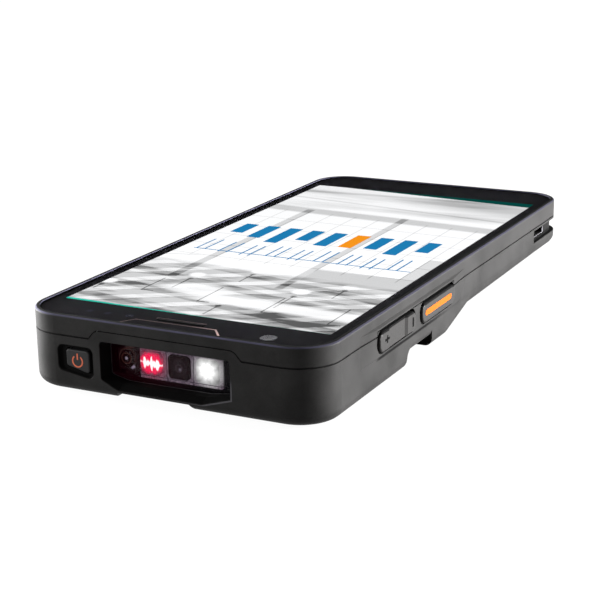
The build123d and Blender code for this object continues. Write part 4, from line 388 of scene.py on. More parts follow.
# ---------------------------------------------------------------- measures of the model
glass_low, glass_high = (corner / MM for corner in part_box("cover_glass"))
ENGINE_FACE_Y = (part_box("scan_engine_body")[0] / MM).y
POWER_FACE_Y = (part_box("power_button")[0] / MM).y
ROCKER_FACE_X = (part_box("volume_rocker")[1] / MM).x
STRIPE_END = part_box("right_trigger_stripe")[1] / MM

# Housings
BODY_HALF = (39.0, 82.5)
BODY_CORNER = 9.8
BODY_TOP = 18.3
FRONT_Y = -82.5
SEAM_Z = 13.55

# Scan port and the power key's dish, in the near face
PORT_HALF = 16.9
PORT_FOOT = 1.95
PORT_TOP = 13.5
DISH_X = (-28.7, -18.6)
DISH_Z = (3.3, 11.5)
POWER_MARK = (-23.1, 7.65)

# Pockets of the side keys: middle and half size in y and z
POCKET_MID = 11.875
POCKET_HALF = 2.975
POCKET_CORNER = 2.7
ROCKER_POCKET = ((-43.85, POCKET_MID), (11.15, POCKET_HALF))
TRIGGER_POCKET = ((-18.85, POCKET_MID), (11.25, POCKET_HALF))

# Places of painted shade:
# Foot of the raised surround of those pockets, where it begins on the left side and on the right,
# and the steep wall of the finger groove
SURROUND_Z = (7.4, 8.5)
SURROUND_START = (-31.0, -52.5)
FINGER_WALL_Y = (-21.8, -20.95)

# Strap eyes in the far corners: the groove round the corner and the hole in it
EYE_GROOVE_Y = 56.12
EYE_GROOVE_Z = (9.05, 12.85)
EYE_HOLE_Y = (58.4, 67.4)

# Glass and what lies under it: left, right, near and far side, or a middle
GLASS_CORNER = 8.6
PRINT_Z = glass_low.z + 0.02
SCREEN = (-34.9, 34.9, -69.3, 67.4)
SCREEN_CORNER = 0.4
SLIT = (-5.55, 6.75, -75.85, -74.95)
SLIT_CORNER = 0.44
FRONT_CAMERA = (23.6, -76.9)
SENSORS = (-23.6, -18.7)
SENSOR_Y = -75.7
LIGHT = (-13.0, -75.4)
BADGE = [(-13.2, -81.25), (-10.3, -76.95), (10.3, -76.7), (13.8, -81.25)]

# Scan engine
LENS_Z = 7.35
LENS_PITCH = 7.4
AIMER_X = -14.0


# ---------------------------------------------------------------- housings
def housing_plastic(name):
    """Black moulding of both housings, with little shine."""
    return moulded_plastic(name, (0.013, 0.0126, 0.0124, 1.0), (0.025, 0.0243, 0.024, 1.0), gloss=0.07)


def front_housing_finish():
    """Front moulding: black on the flat rim like the glass, a painted lilac-grey highlight on its edge, and
    painted shade at the seam.
    """
    made = housing_plastic("front_moulding")
    x, y, z = made.axes()
    # Painted lilac-grey highlight along the rim's edge, broken up by noise and dimmer towards the right side.
    highlight_breakup = made.ramp(made.noise(0.15, 3.0), 0.3, 0.7, 0.6, 1.0)
    edge = made.band(z, BODY_TOP - 0.38, BODY_TOP - 0.06, 0.06) * highlight_breakup
    highlight_lilac = made.mix(made.ramp(x, 30.0, 38.4), (0.07, 0.067, 0.108, 1.0), (0.021, 0.02, 0.034, 1.0))
    made.vary(
        Base_Color=made.mix(edge, made.joined("Base Color"), highlight_lilac),
        Roughness=made.joined("Roughness") + edge * 0.45,
    )
    # Painted shade along the seam between the housings.
    seam_shade = made.band(z, SEAM_Z - 0.2, SEAM_Z + 0.16, 0.1)
    flat = made.ramp(z, BODY_TOP - 0.06, BODY_TOP - 0.02, 0.0, 0.93)
    return made.blacken(made.sum("MAXIMUM", flat, seam_shade * 0.7))


def opening_shade_mask(made, x, y, z):
    """Painted shade inside the scan port and the power key's dish."""
    inner = made.ramp(y, FRONT_Y + 0.06, FRONT_Y + 0.4) * made.ramp(y, -76.0, -75.0, 1.0, 0.0)
    port = made.band(abs(x), -1.0, PORT_HALF + 0.5) * made.band(z, PORT_FOOT - 0.05, PORT_TOP) * inner
    dish = made.band(x, *DISH_X) * made.band(z, *DISH_Z) * made.ramp(y, FRONT_Y + 0.08, FRONT_Y + 0.3)
    dish = dish * made.ramp(y, -80.4, -80.2, 1.0, 0.0)
    return port + dish


def pocket_shade_mask(made, x, y, z):
    """Painted shade inside the side keys' pockets: the rocker's on the right side only, the triggers' on
    both.
    """
    rocker = made.outside(y, z, *ROCKER_POCKET, POCKET_CORNER)
    trigger = made.outside(y, z, *TRIGGER_POCKET, POCKET_CORNER)
    right = made.ramp(x, 10.0, 20.0)
    both = made.ramp(rocker, 0.0, 0.06, 1.0, 0.0) * right + made.ramp(trigger, 0.0, 0.06, 1.0, 0.0)
    return both * made.ramp(abs(x), 34.0, 35.0)


def surround_foot_mask(made, x, y, z):
    """Shade under the raised surround of the side keys, weaker towards the far end."""
    low, high = SURROUND_Z
    foot = made.band(z, low, high, 0.3) * made.ramp(abs(x), 38.9, 38.97)
    begin = made.ramp(x, -10.0, 10.0, *SURROUND_START)
    return foot * made.ramp(y - begin, -2.5, 0.0) * made.ramp(y, -24.0, -9.0, 0.9, 0.1)


def finger_wall_shade_mask(made, x, y, z):
    """Painted shade on the steep wall of the finger groove."""
    wall = made.band(y, *FINGER_WALL_Y)
    return wall * made.ramp(z, 3.9, 4.3, 1.0, 0.0) * made.ramp(abs(x), 38.4, 38.8, 1.0, 0.0)


def port_lip_highlight_mask(made, x, y, z):
    """Painted highlight on the edge of the scan port at its right wall and along the right end of its sill.
    """
    sill = made.sum("MAXIMUM", PORT_FOOT + (x - 9.4) * 0.3, PORT_FOOT)
    lip = made.band(made.sum("MAXIMUM", x - PORT_HALF, sill - z), 0.0, 0.32, 0.12)
    return lip * made.ramp(x, 0.0, 9.0) * made.ramp(z, 9.0, 7.0) * made.ramp(y, FRONT_Y + 0.2, FRONT_Y + 0.1)


def strap_eye_shade_and_highlight_masks(made, x, y, z):
    """Painted shade in the groove round a far corner, and painted highlights on its two edges at the hole."""
    deep = 0.0 - made.outside(x, y, (0.0, 0.0), BODY_HALF, BODY_CORNER)
    here = made.ramp(y, EYE_GROOVE_Y - 0.04, EYE_GROOVE_Y + 0.04)
    here = here * made.band(z, *EYE_GROOVE_Z) * made.ramp(deep, 0.06, 0.3)
    floor = made.ramp(z, 9.85, 10.0, 0.97, 0.7)
    near, far = EYE_HOLE_Y
    start = made.ramp(y, near - 0.2, near + 0.2, 0.97, 0.0)
    hole = made.ramp(deep, 1.3, 1.6)
    level = made.sum("MAXIMUM", made.sum("MAXIMUM", floor, start), hole)
    sill = made.band(z, 9.95, 10.2) * made.band(y, near - 0.1, far) * made.band(deep, 1.15, 1.5)
    post = made.band(y, far - 0.25, far + 0.25) * made.band(z, 9.95, 12.5) * made.band(deep, 1.1, 1.5)
    lip_highlights = sill + post
    return here * level * (1.0 - lip_highlights), lip_highlights * 0.8


def rear_housing_finish():
    """Back moulding: painted shade in its openings and grooves, and painted highlights on the edges that
    catch the light.
    """
    made = housing_plastic("rear_moulding")
    x, y, z = made.axes()
    eye_shade, eye_highlight = strap_eye_shade_and_highlight_masks(made, abs(x), y, z)
    # Painted highlights on the strap eyes' lips and the scan port's lip.
    painted_highlight = made.sum("MAXIMUM", eye_highlight, port_lip_highlight_mask(made, x, y, z) * 0.6)
    made.vary(Base_Color=made.mix(painted_highlight, made.joined("Base Color"), (0.16, 0.155, 0.17, 1.0)))
    # Painted shade in the openings, the key pockets, under the surround and on the finger groove's wall.
    holes = opening_shade_mask(made, x, y, z) * 0.93 + pocket_shade_mask(made, x, y, z) * 0.96
    holes = holes + surround_foot_mask(made, x, y, z) + finger_wall_shade_mask(made, x, y, z) * 0.97
    return made.blacken(made.sum("MAXIMUM", made.sum("MINIMUM", holes, 1.0), eye_shade))


def side_key_finish():
    """Rubber of the side keys, with painted black shade on the bevel over the face."""
    made = soft_rubber("key_skin", (0.0145, 0.0138, 0.0135, 1.0), 0.5, 0.12)
    x, y, z = made.axes()
    return made.blacken(made.ramp(z, SEAM_Z, SEAM_Z + 0.2) * 0.95)


pack = moulded_plastic("pack_moulding", (0.01, 0.01, 0.0115, 1.0), (0.016, 0.016, 0.018, 1.0), 0.56, 4.0)
latch = moulded_plastic("latch_moulding", (0.014, 0.014, 0.016, 1.0), (0.024, 0.024, 0.027, 1.0), 0.45)
key_skin = side_key_finish()
power_skin = soft_rubber("power_key_skin", (0.009, 0.009, 0.0095, 1.0), 0.48, 0.2)
boot_skin = soft_rubber("boot_rubber", (0.01, 0.01, 0.01, 1.0), 0.65)
gasket_skin = soft_rubber("gasket_rubber", (0.012, 0.012, 0.013, 1.0), 0.7)
film_skin = soft_rubber("adhesive_film", (0.014, 0.014, 0.014, 1.0), 0.5)
module_skin = moulded_plastic(
    "module_black", (0.008, 0.008, 0.009, 1.0), (0.014, 0.014, 0.016, 1.0), sparkle=8.0
)


def orange_band():
    """Orange insert of the scan triggers, with a small darker dot at its far end."""
    made = Finish("trigger_orange", Specular_IOR_Level=0.04)
    x, y, z = made.axes()
    cloud = made.noise(0.5, 2.0)
    body = made.mix(cloud, (0.34, 0.072, 0.005, 1.0), (0.39, 0.088, 0.008, 1.0))
    away = made.distance(y, STRIPE_END.y - 0.8, z, STRIPE_END.z - 0.45)
    mark = made.ramp(away, 0.28, 0.42, 1.0, 0.0)
    made.vary(
        Base_Color=made.mix(mark, body, (0.35, 0.06, 0.005, 1.0)),
        Roughness=made.ramp(cloud, 0.3, 0.7, 0.34, 0.46),
        Normal=made.bump(made.noise(6.0, 2.0), 0.15, 0.01),
    )
    return made


# ---------------------------------------------------------------- scan engine
def engine_face():
    """Speckled grey-pink engine cover, with the painted glow of the lamps set in it on its front."""
    made = Finish("engine_cover", Specular_IOR_Level=0.2, Emission_Strength=1.0)
    x, y, z = made.axes()
    speckle = made.ramp(made.noise(2.6, 3.0), 0.35, 0.7)
    # Painted glow round the red and the white lamp on the cover's front, darker along the seams and towards
    # the top.
    red = made.ramp(made.distance(x, -LENS_PITCH, z, LENS_Z), 2.4, 5.4, 1.0, 0.0)
    white_glow = made.ramp(made.distance(x, LENS_PITCH, z, LENS_Z), 2.2, 5.0, 1.0, 0.0)
    front = made.ramp(y, ENGINE_FACE_Y + 0.4, ENGINE_FACE_Y + 1.2, 1.0, 0.0)
    seams = made.band(abs(x), 3.45, 3.62, 0.06) + made.band(z, 4.05, 4.2, 0.06)
    top = made.ramp(z, 9.9, 10.5)
    plain = made.mix(speckle, (0.05, 0.035, 0.05, 1.0), (0.2, 0.16, 0.2, 1.0))
    painted_light = made.mix(speckle, (0.045, 0.03, 0.045, 1.0), (0.17, 0.125, 0.165, 1.0))
    painted_light = made.mix(red ** 1.5, painted_light, (0.3, 0.03, 0.075, 1.0))
    painted_light = made.mix(white_glow ** 1.3, painted_light, grey(0.75))
    painted_light = made.mix(made.sum("MAXIMUM", seams, top * 0.5), painted_light, (0.02, 0.012, 0.02, 1.0))
    made.vary(
        Base_Color=made.mix(seams * front, plain, (0.03, 0.025, 0.035, 1.0)),
        Roughness=made.ramp(speckle, 0.0, 1.0, 0.45, 0.6),
        Emission_Color=made.mix(front, grey(0.0), painted_light),
        Normal=made.bump(speckle, 0.2, 0.02),
    )
    return made


def red_cluster():
    """Red illuminator: a ragged red glow with tall white-hot dies across it, fading into the cover."""
    made = Finish("red_lamp", Emission_Strength=1.5, Roughness=0.3, Specular_IOR_Level=0.2)
    x, y, z = made.axes()
    across, up = x + LENS_PITCH, z - LENS_Z
    ragged = made.noise(1.1, 3.0) - 0.5
    reach = made.ramp(abs(across - 0.25), 1.9, 2.5, 0.34, -0.6)
    dies = ((-1.55, 1.25), (-0.75, 0.55), (0.2, 1.5), (0.95, 0.7), (1.75, 1.15))
    for place, height in dies:
        reach = made.sum("MAXIMUM", reach, made.ramp(abs(across - place), 0.12, 0.62, height, 0.0))
    hot = made.ramp(abs(up - across * -0.06) - reach + ragged * 1.1, -0.12, 0.3, 1.0, 0.0)
    round_off = made.distance((across - 0.1) / 3.0, 0.0, (up - 0.1) / 2.55, 0.0)
    glow = made.ramp(round_off + ragged * 0.6, 0.85, 1.12, 1.0, 0.0)
    plate = made.mix(made.ramp(ragged, -0.15, 0.15), (0.05, 0.006, 0.018, 1.0), (0.15, 0.04, 0.07, 1.0))
    red = made.mix(glow, plate, (0.82, 0.006, 0.07, 1.0))
    made.vary(
        Emission_Color=made.mix(hot, red, (1.0, 0.84, 0.88, 1.0)),
        Base_Color=made.mix(hot, (0.1, 0.02, 0.03, 1.0), (0.6, 0.45, 0.45, 1.0)),
    )
    return made


def white_lamp(name, middle, plane, strength, reach):
    """White lamp: a soft starry burst over its die, fading to grey speckled glass at the corners.

    plane names the two axes that middle is given in.
    """
    made = Finish(name, Emission_Strength=strength, Roughness=0.35, Specular_IOR_Level=0.2)
    axes = dict(zip("xyz", made.axes()))
    a, b = axes[plane[0]] - middle[0], axes[plane[1]] - middle[1]
    away = made.distance(a, 0.0, b, 0.0)
    angle = made.sum("ARCTAN2", b, a)
    rays = abs(made.sum("SINE", angle * 4.0 + made.noise(0.7, 2.0) * 5.0))
    burst = made.ramp(away - rays * reach * 0.1, reach * 0.2, reach, 1.0, 0.0) ** 1.7
    corner = made.mix(made.noise(2.2, 3.0), grey(0.015), grey(0.1))
    made.vary(
        Emission_Color=made.mix(burst, corner, grey(1.0)),
        Base_Color=made.mix(burst, grey(0.1), grey(0.7)),
    )
    return made


def aimer_front():
    """Black aiming module beside the cover, with one painted lilac glint under its lens and a faint painted
    ring.
    """
    made = Finish("aimer_black", Specular_IOR_Level=0.1, Emission_Strength=1.0)
    x, y, z = made.axes()
    skin = made.noise(1.5, 3.0)
    # Painted glint and ring, lit by emission.
    spot = made.distance(x, AIMER_X + 1.3, z, LENS_Z - 1.6)
    glint = made.ramp(spot + skin * 0.9, 0.75, 1.15, 1.0, 0.0)
    ring = made.band(made.distance(x, AIMER_X, z, LENS_Z + 0.4), 2.0, 2.3, 0.2)
    painted_light = made.mix(ring, (0.004, 0.001, 0.0015, 1.0), (0.035, 0.016, 0.014, 1.0))
    made.vary(
        Base_Color=made.mix(skin, grey(0.002), (0.006, 0.003, 0.004, 1.0)),
        Emission_Color=made.mix(glint, painted_light, (0.3, 0.24, 0.33, 1.0)),
        Roughness=made.ramp(skin, 0.3, 0.7, 0.5, 0.7),
    )
    return made


def aimer_glass():
    """Dark brown aiming lens with a small painted highlight at its crown and a faint painted ring."""
    made = Finish("amber_glass", Roughness=0.1, Specular_IOR_Level=0.25, Emission_Strength=1.0)
    x, y, z = made.axes()
    away = made.distance(x, AIMER_X, z, LENS_Z + 0.35)
    # Painted highlight at the crown and a faint painted ring, lit by emission.
    point = made.ramp(away, 0.15, 0.5, 1.0, 0.0)
    ring = made.band(away, 1.1, 1.4, 0.2)
    painted_light = made.mix(ring, (0.004, 0.001, 0.001, 1.0), (0.03, 0.012, 0.01, 1.0))
    made.vary(
        Base_Color=made.mix(ring, (0.006, 0.002, 0.002, 1.0), (0.05, 0.016, 0.01, 1.0)),
        Emission_Color=made.mix(point, painted_light, (0.32, 0.27, 0.36, 1.0)),
    )
    return made


def scan_window_finish():
    """Thin tinted window with a painted dark red glow towards the red lamp and along its foot."""
    made = Finish("scan_glass", Roughness=0.03, Specular_IOR_Level=0.3, Emission_Strength=1.0)
    x, y, z = made.axes()
    # Painted red glow of the red lamp: stronger towards it and along the window's foot, with a red tint in
    # the colour there too.
    red = made.ramp(x, 1.0, -9.0)
    foot = made.band(z, 3.0, 4.3, 0.4) * made.ramp(x, 6.0, -2.0)
    smudge = made.noise(0.25, 3.0)
    haze = made.mix(red, grey(0.0), (0.006, 0.0, 0.001, 1.0))
    made.vary(
        Base_Color=made.mix(red, (0.012, 0.01, 0.014, 1.0), (0.014, 0.0, 0.002, 1.0)),
        Emission_Color=made.mix(foot, haze, (0.017, 0.001, 0.004, 1.0)),
        Alpha=made.ramp(smudge, 0.3, 0.8, 0.14, 0.2),
    )
    return made


# ---------------------------------------------------------------- screen
def clear_cover():
    """Toughened clear glass, polished, with the faintest smears and blackened edges."""
    made = Finish("cover_glass", Transmission_Weight=1.0, IOR=1.5, Base_Color=(0.97, 0.98, 1.0, 1.0))
    made.vary(Roughness=made.ramp(made.noise(0.05, 4.0), 0.45, 0.75, 0.015, 0.06))
    x, y, z = made.axes()
    half = ((glass_high.x - glass_low.x) / 2, (glass_high.y - glass_low.y) / 2)
    edge = made.outside(x, y, (0.0, 0.0), half, GLASS_CORNER)
    left, right, near, far = SLIT
    middle = ((left + right) / 2, (near + far) / 2)
    slit = made.outside(x, y, middle, ((right - left) / 2, (far - near) / 2), SLIT_CORNER)
    black = made.sum("MAXIMUM", made.ramp(edge, -0.35, -0.28), made.ramp(slit, 0.02, 0.05, 0.85, 0.0))
    return made.blacken(black * 0.95)


def border_print():
    """Black ink under the glass, thinner and bluish over the sensors and round the status light."""
    made = Finish("black_print", Specular_IOR_Level=0.2)
    x, y, z = made.axes()
    cloud = made.noise(0.2, 2.0)
    ink = made.mix(cloud, (0.0032, 0.0027, 0.0042, 1.0), (0.0046, 0.004, 0.0062, 1.0))
    thin = made.band(made.distance(x, LIGHT[0], y, LIGHT[1]), 0.55, 0.95, 0.25)
    for place in SENSORS:
        thin = thin + made.ramp(made.distance(x, place, y, SENSOR_Y), 0.4, 1.2, 0.75, 0.0)
    made.vary(
        Base_Color=made.mix(thin, ink, (0.024, 0.024, 0.045, 1.0)),
        Roughness=made.ramp(cloud, 0.3, 0.7, 0.4, 0.5),
    )
    return made


def copper_print():
    """Copper ink, with a painted highlight towards the right."""
    made = Finish("copper_line", Metallic=0.5)
    x, y, z = made.axes()
    painted_light = made.ramp(x, 4.0, 12.0)
    made.vary(
        Base_Color=made.mix(painted_light, (0.2, 0.14, 0.135, 1.0), (0.7, 0.5, 0.45, 1.0)),
        Roughness=made.ramp(made.noise(2.0), 0.3, 0.7, 0.35, 0.5),
    )
    return made


# The pictured hall, in the screen's plane. Pendant lamps: middle, bulb radius, length of the stem beyond it.
HALL_LAMPS = (
    (-16.5, -38.8, 2.4, 15.0), (23.1, -33.8, 2.2, 12.0), (14.1, -42.5, 2.6, 17.0),
    (1.6, -55.6, 3.2, 12.0), (-4.0, -30.2, 2.0, 12.0), (-34.0, -52.0, 2.4, 6.0),
)
# Poles: place across, upper end, lower end.
HALL_POLES = ((-22.4, -44.4, -55.8), (-5.0, -46.3, -58.9), (13.0, -48.7, -60.8), (31.0, -50.6, -63.2))


def hall_floor(made, x, y, slanted):
    """Lower part of the hall: a lattice of slanting tables under pendant lamps."""
    rows = made.sum("FRACT", (y * 0.82 - x * 0.5) / 7.5 + slanted * 0.35)
    cross = made.sum("FRACT", (y * 0.9 + x * 0.22) / 11.0 + slanted * 0.2)
    streaks = made.noise(0.2, 5.0, made.stretched(0.45, 1.9, 1.0))
    shade = made.band(rows, 0.0, 0.55, 0.06) * 0.24 + made.band(rows, 0.55, 0.6, 0.03) * 0.34
    shade = shade + made.band(cross, 0.1, 0.42, 0.05) * 0.2 + made.ramp(streaks, 0.46, 0.62) * 0.24 + 0.1
    dark_patch = made.distance((x - 24.0) / 14.0, 0.0, (y + 62.0) / 8.0, 0.0)
    shade = shade + made.ramp(dark_patch, 0.6, 1.3, 0.3, 0.0)
    bright = made.band(y + x * 0.05, -58.5, -52.0, 2.0) * made.ramp(x, -12.0, -4.0)
    bright_patch = made.distance((x + 10.0) / 9.0, 0.0, (y + 50.0) / 5.0, 0.0)
    bright = made.sum("MAXIMUM", bright, made.ramp(bright_patch, 0.5, 1.2, 0.9, 0.0))
    shade = shade * (1.0 - bright * 0.85)
    for a, b, size, stem in HALL_LAMPS:
        bulb = made.ramp(made.distance(x, a, (y - b) * 1.15, 0.0), size * 0.7, size * 1.1, 1.0, 0.0)
        shade = shade * (1.0 - bulb * 0.92)
        cap = b - size * 1.5
        shade = shade + made.ramp(made.distance(x, a, y, cap), 0.5, 1.0, 0.3, 0.0)
        rod = made.band(x, a - 0.2, a + 0.2, 0.2) * made.band(y, cap - stem * 0.6, cap)
        shade = shade + rod * 0.36
    for a, high, low in HALL_POLES:
        pole = made.band(x, a - 0.16, a + 0.16, 0.15) * made.band(y, low, high)
        ground = low - a * 0.12
        foot = made.band(y - x * 0.12, ground - 0.35, ground + 0.1, 0.15) * made.band(x, a, a + 3.2)
        shade = shade + (pole + foot) * 0.5
    return shade


def hall_picture(made, x, y):
    """A pale hall: streaked ceiling, beam, posts, window panes, low wall, and tables on its floor."""
    slanted = made.noise(0.06, 3.0)
    streaks = made.noise(0.05, 5.0, made.stretched(0.35, 2.2, 1.0))
    fall = y + x * 0.05
    dome = made.distance((x - 30.0) / 34.0, 0.0, (y - 57.0) / 9.0, 0.0)
    ceiling = made.ramp(fall, 35.0, 40.0) * (
        made.ramp(streaks, 0.46, 0.7) * 0.3
        + made.ramp(dome, 0.3, 1.1, 0.32, 0.0)
        + made.band(y + x * 0.12, 46.0, 47.2, 0.8) * 0.2
        + made.band(y - x * 0.08, 60.5, 63.0, 1.5) * 0.16
        + made.ramp(y, 40.0, 66.0, 0.0, 0.08)
    )
    beam = made.band(y + x * 0.0625, 30.6, 36.4, 1.6) * made.ramp(slanted, 0.2, 0.8, 0.28, 0.36)
    posts = made.band(x, -23.5, -20.9, 0.5) + made.band(x, 6.6, 8.8, 0.5)
    posts = posts * made.band(y, -42.0, 36.0, 1.5) * 0.27
    columns = made.band(made.sum("FRACT", (x + 36.5) / 7.5), 0.0, 0.045, 0.03)
    rungs = made.band(made.sum("FRACT", (y + x * 0.03) / 11.0), 0.0, 0.035, 0.02)
    panes = (columns + rungs) * made.band(fall, -24.0, 32.0, 2.0) * 0.24
    wall = made.band(x, 8.8, 35.5, 0.5) * made.band(y, -33.5, -22.6, 0.8) * 0.34
    wall = wall + made.band(x, 31.0, 36.0, 0.4) * made.band(y, -22.6, -3.0, 0.5) * 0.26
    rail = made.band(y - x * 0.28, -14.6, -14.0, 0.5) * made.ramp(x, -24.0, -27.0) * 0.22
    tables = made.ramp(y + x * 0.06, -29.0, -34.0) * hall_floor(made, x, y, slanted)
    shade = ceiling + beam + posts + panes + wall + rail + tables
    return made.mix(made.ramp(shade, 0.0, 0.8), grey(1.0), grey(0.1))


def bar_chart(made, x, y, behind):
    """Plain blue bars of uneven height, one of them orange, over ticks and a base line, laid on a picture."""
    place = (x + 31.2) / 6.9
    rows = made.sum("FRACT", place)
    step = made.sum("FLOOR", place)
    tall = made.sum("FRACT", step * 0.38 + 0.15) * 8.5
    inside = made.band(x, -31.3, 30.9, 0.1)
    column = made.band(rows, 0.0, 0.56, 0.03)
    bars = column * made.band(y, -3.5, 13.6, 0.15) * made.ramp(y + tall, 4.6, 4.9)
    ticks = made.band(rows, 0.06, 0.13, 0.03) + made.band(rows, 0.42, 0.49, 0.03)
    ticks = ticks * made.band(y + tall * 0.3, -15.2, -4.8, 0.15)
    base = made.band(y, -15.9, -15.4, 0.12)
    chart = made.mix(inside * (bars + ticks + base), behind, (0.013, 0.2, 0.44, 1.0))
    accent = made.band(step, 4.5, 5.5, 0.2) * column * made.band(y, 0.0, 13.6, 0.15)
    return made.mix(accent, chart, (0.92, 0.3, 0.012, 1.0))


def lit_picture():
    """What the screen shows: a chart over a hall, with the teal desktop at both ends."""
    made = Finish("screen_picture", Base_Color=grey(0.0), Specular_IOR_Level=0.0, Emission_Strength=1.42)
    x, y, z = made.axes()
    chart = bar_chart(made, x, y, hall_picture(made, x, y))
    far = made.ramp(y + x * 0.0743, 65.4, 65.6)
    near = made.ramp(y + made.ramp(x, -34.0, 8.0, 0.0, 1.1), -68.25, -68.1, 1.0, 0.0)
    ended = made.mix(far, chart, (0.0, 0.06, 0.05, 1.0))
    made.vary(Emission_Color=made.mix(near, ended, (0.02, 0.5, 0.38, 1.0)))
    return made


def dark_panel():
    """Black body of the display, seen only where the glass is taken off."""
    made = Finish("panel_bezel", Specular_IOR_Level=0.3)
    cloud = made.noise(0.3, 2.0)
    made.vary(
        Base_Color=made.mix(cloud, grey(0.004), grey(0.008)),
        Roughness=made.ramp(cloud, 0.3, 0.7, 0.3, 0.45),
    )
    return made


def camera_bezel():
    """Front camera: a lilac-grey disc with a darker coated lens in its middle."""
    made = Finish("front_camera_lens", Specular_IOR_Level=0.4)
    x, y, z = made.axes()
    away = made.distance(x, FRONT_CAMERA[0], y, FRONT_CAMERA[1])
    ring = made.ramp(away, 0.3, 1.3)
    made.vary(
        Base_Color=made.mix(ring, (0.012, 0.01, 0.022, 1.0), (0.034, 0.029, 0.064, 1.0)),
        Roughness=made.ramp(away, 0.4, 1.2, 0.2, 0.5),
    )
    return made


# ---------------------------------------------------------------- finishes for each node
worn_steel = worked_metal("sheet_steel", (0.55, 0.55, 0.57, 1.0))
dark_steel = worked_metal("screw_steel", (0.22, 0.22, 0.235, 1.0), 0.36, (5.0, 5.0, 0.5))
frame_alloy = worked_metal("frame_alloy", (0.42, 0.43, 0.45, 1.0), 0.4, (0.5, 5.0, 5.0))
gold = worked_metal("contact_gold", (0.83, 0.6, 0.27, 1.0), 0.22, (3.0, 3.0, 3.0))
cell_steel = worked_metal("cell_steel", (0.6, 0.6, 0.6, 1.0), 0.26, (4.0, 0.6, 4.0))
board = solder_mask("solder_mask")
film = film_circuit("film_circuit")
cloth = woven_mesh("wire_cloth", 0.6)
orange = orange_band()

NODE_FINISH = {
    "front_housing": front_housing_finish(),
    "rear_housing": rear_housing_finish(),
    "battery_pack": pack,
    "battery_latch": latch,
    "cover_glass": clear_cover(),
    "display_panel": dark_panel(),
    "glass_adhesive": film_skin,
    "scan_window": scan_window_finish(),
    "window_gasket": gasket_skin,
    "scan_engine_body": engine_face(),
    "imager_lens": imager_glass(),
    "red_illuminator": red_cluster(),
    "white_illuminator": white_lamp("white_lamp", (LENS_PITCH - 0.1, LENS_Z + 0.35), "xz", 1.6, 4.3),
    "aimer_module": aimer_front(),
    "aiming_lens": aimer_glass(),
    "power_button": power_skin,
    "volume_rocker": key_skin,
    "left_trigger": key_skin,
    "right_trigger": key_skin,
    "left_trigger_stripe": orange,
    "right_trigger_stripe": orange,
    "front_camera": camera_bezel(),
    "earpiece_mesh": woven_mesh("earpiece_cloth", 0.0),
    "speaker_mesh": cloth,
    "proximity_sensor": module_skin,
    "status_light_pipe": soft_rubber("light_pipe", (0.06, 0.06, 0.066, 1.0), 0.25),
    "rear_camera": module_skin,
    "rear_camera_window": optical_glass("rear_camera_glass", (0.02, 0.022, 0.05, 1.0), (-7.3, -54.0), 3.6),
    "flash_led": white_lamp("flash_lamp", (1.8, -54.0), "xy", 0.0, 1.5),
    "loudspeaker": module_skin,
    "usb_receptacle": worn_steel,
    "charging_contacts": gold,
    "housing_screws": dark_steel,
    "mid_frame": frame_alloy,
    "housing_gasket": gasket_skin,
    "earpiece_receiver": module_skin,
    "microphones": worn_steel,
    "vibration_motor": cell_steel,
    "main_board": board,
    "sub_board": board,
    "board_shields": worn_steel,
    "board_screws": dark_steel,
    "backup_cell": cell_steel,
    "link_flex": film,
    "display_flex": film,
    "engine_flex": film,
    "engine_bracket": worn_steel,
    "engine_screws": dark_steel,
    "battery_connector": module_skin,
    "nfc_antenna": film_circuit("antenna_film", (0.03, 0.03, 0.033, 1.0)),
    "main_antenna": gold,
    "left_key_boot": boot_skin,
    "right_key_boot": boot_skin,
    "power_key_boot": boot_skin,
    "left_key_switches": film,
    "right_key_switches": film,
    "power_key_switch": film,
    "left_key_bracket": worn_steel,
    "right_key_bracket": worn_steel,
    "power_key_bracket": worn_steel,
}
for name, node in nodes.items():
    for place in node.material_slots:
        place.material = NODE_FINISH[name].material


# ---------------------------------------------------------------- printed glass and lit picture
def glass_print():
    """Ink round the screen, the lit picture, and two copper lines, one a painted highlight on the slit's
    edge, all just over the glass's underside.
    """
    inset = 0.2
    left, near = glass_low.x + inset, glass_low.y + inset
    right, far = glass_high.x - inset, glass_high.y - inset
    outline = round_box(left, right, near, far, GLASS_CORNER - inset, 12)
    window = round_box(*SCREEN, SCREEN_CORNER, 4)
    slit = round_box(*SLIT, SLIT_CORNER, 6)
    holes = [window, slit, disc(*FRONT_CAMERA, 1.9), disc(*LIGHT, 0.45, 24)]
    slit_highlight = [(-6.2, -74.8), (-6.2, -73.95), (6.45, -73.95)]
    copper = copper_print()
    for name, loops, level, finish in (
        ("glass_print", [outline] + holes, PRINT_Z, border_print()),
        ("screen_picture", [window], PRINT_Z, lit_picture()),
        ("badge_outline", [stroke(BADGE, (0.3, 0.3, 0.36, 0.55))], PRINT_Z + 0.02, copper),
        ("slit_edge_highlight", [stroke(slit_highlight, (0.16, 0.2, 0.16))], PRINT_Z + 0.02, copper),
    ):
        new_piece(name, sheet_mesh(name, loops, on_top(level), 0.0), finish, "terminal")


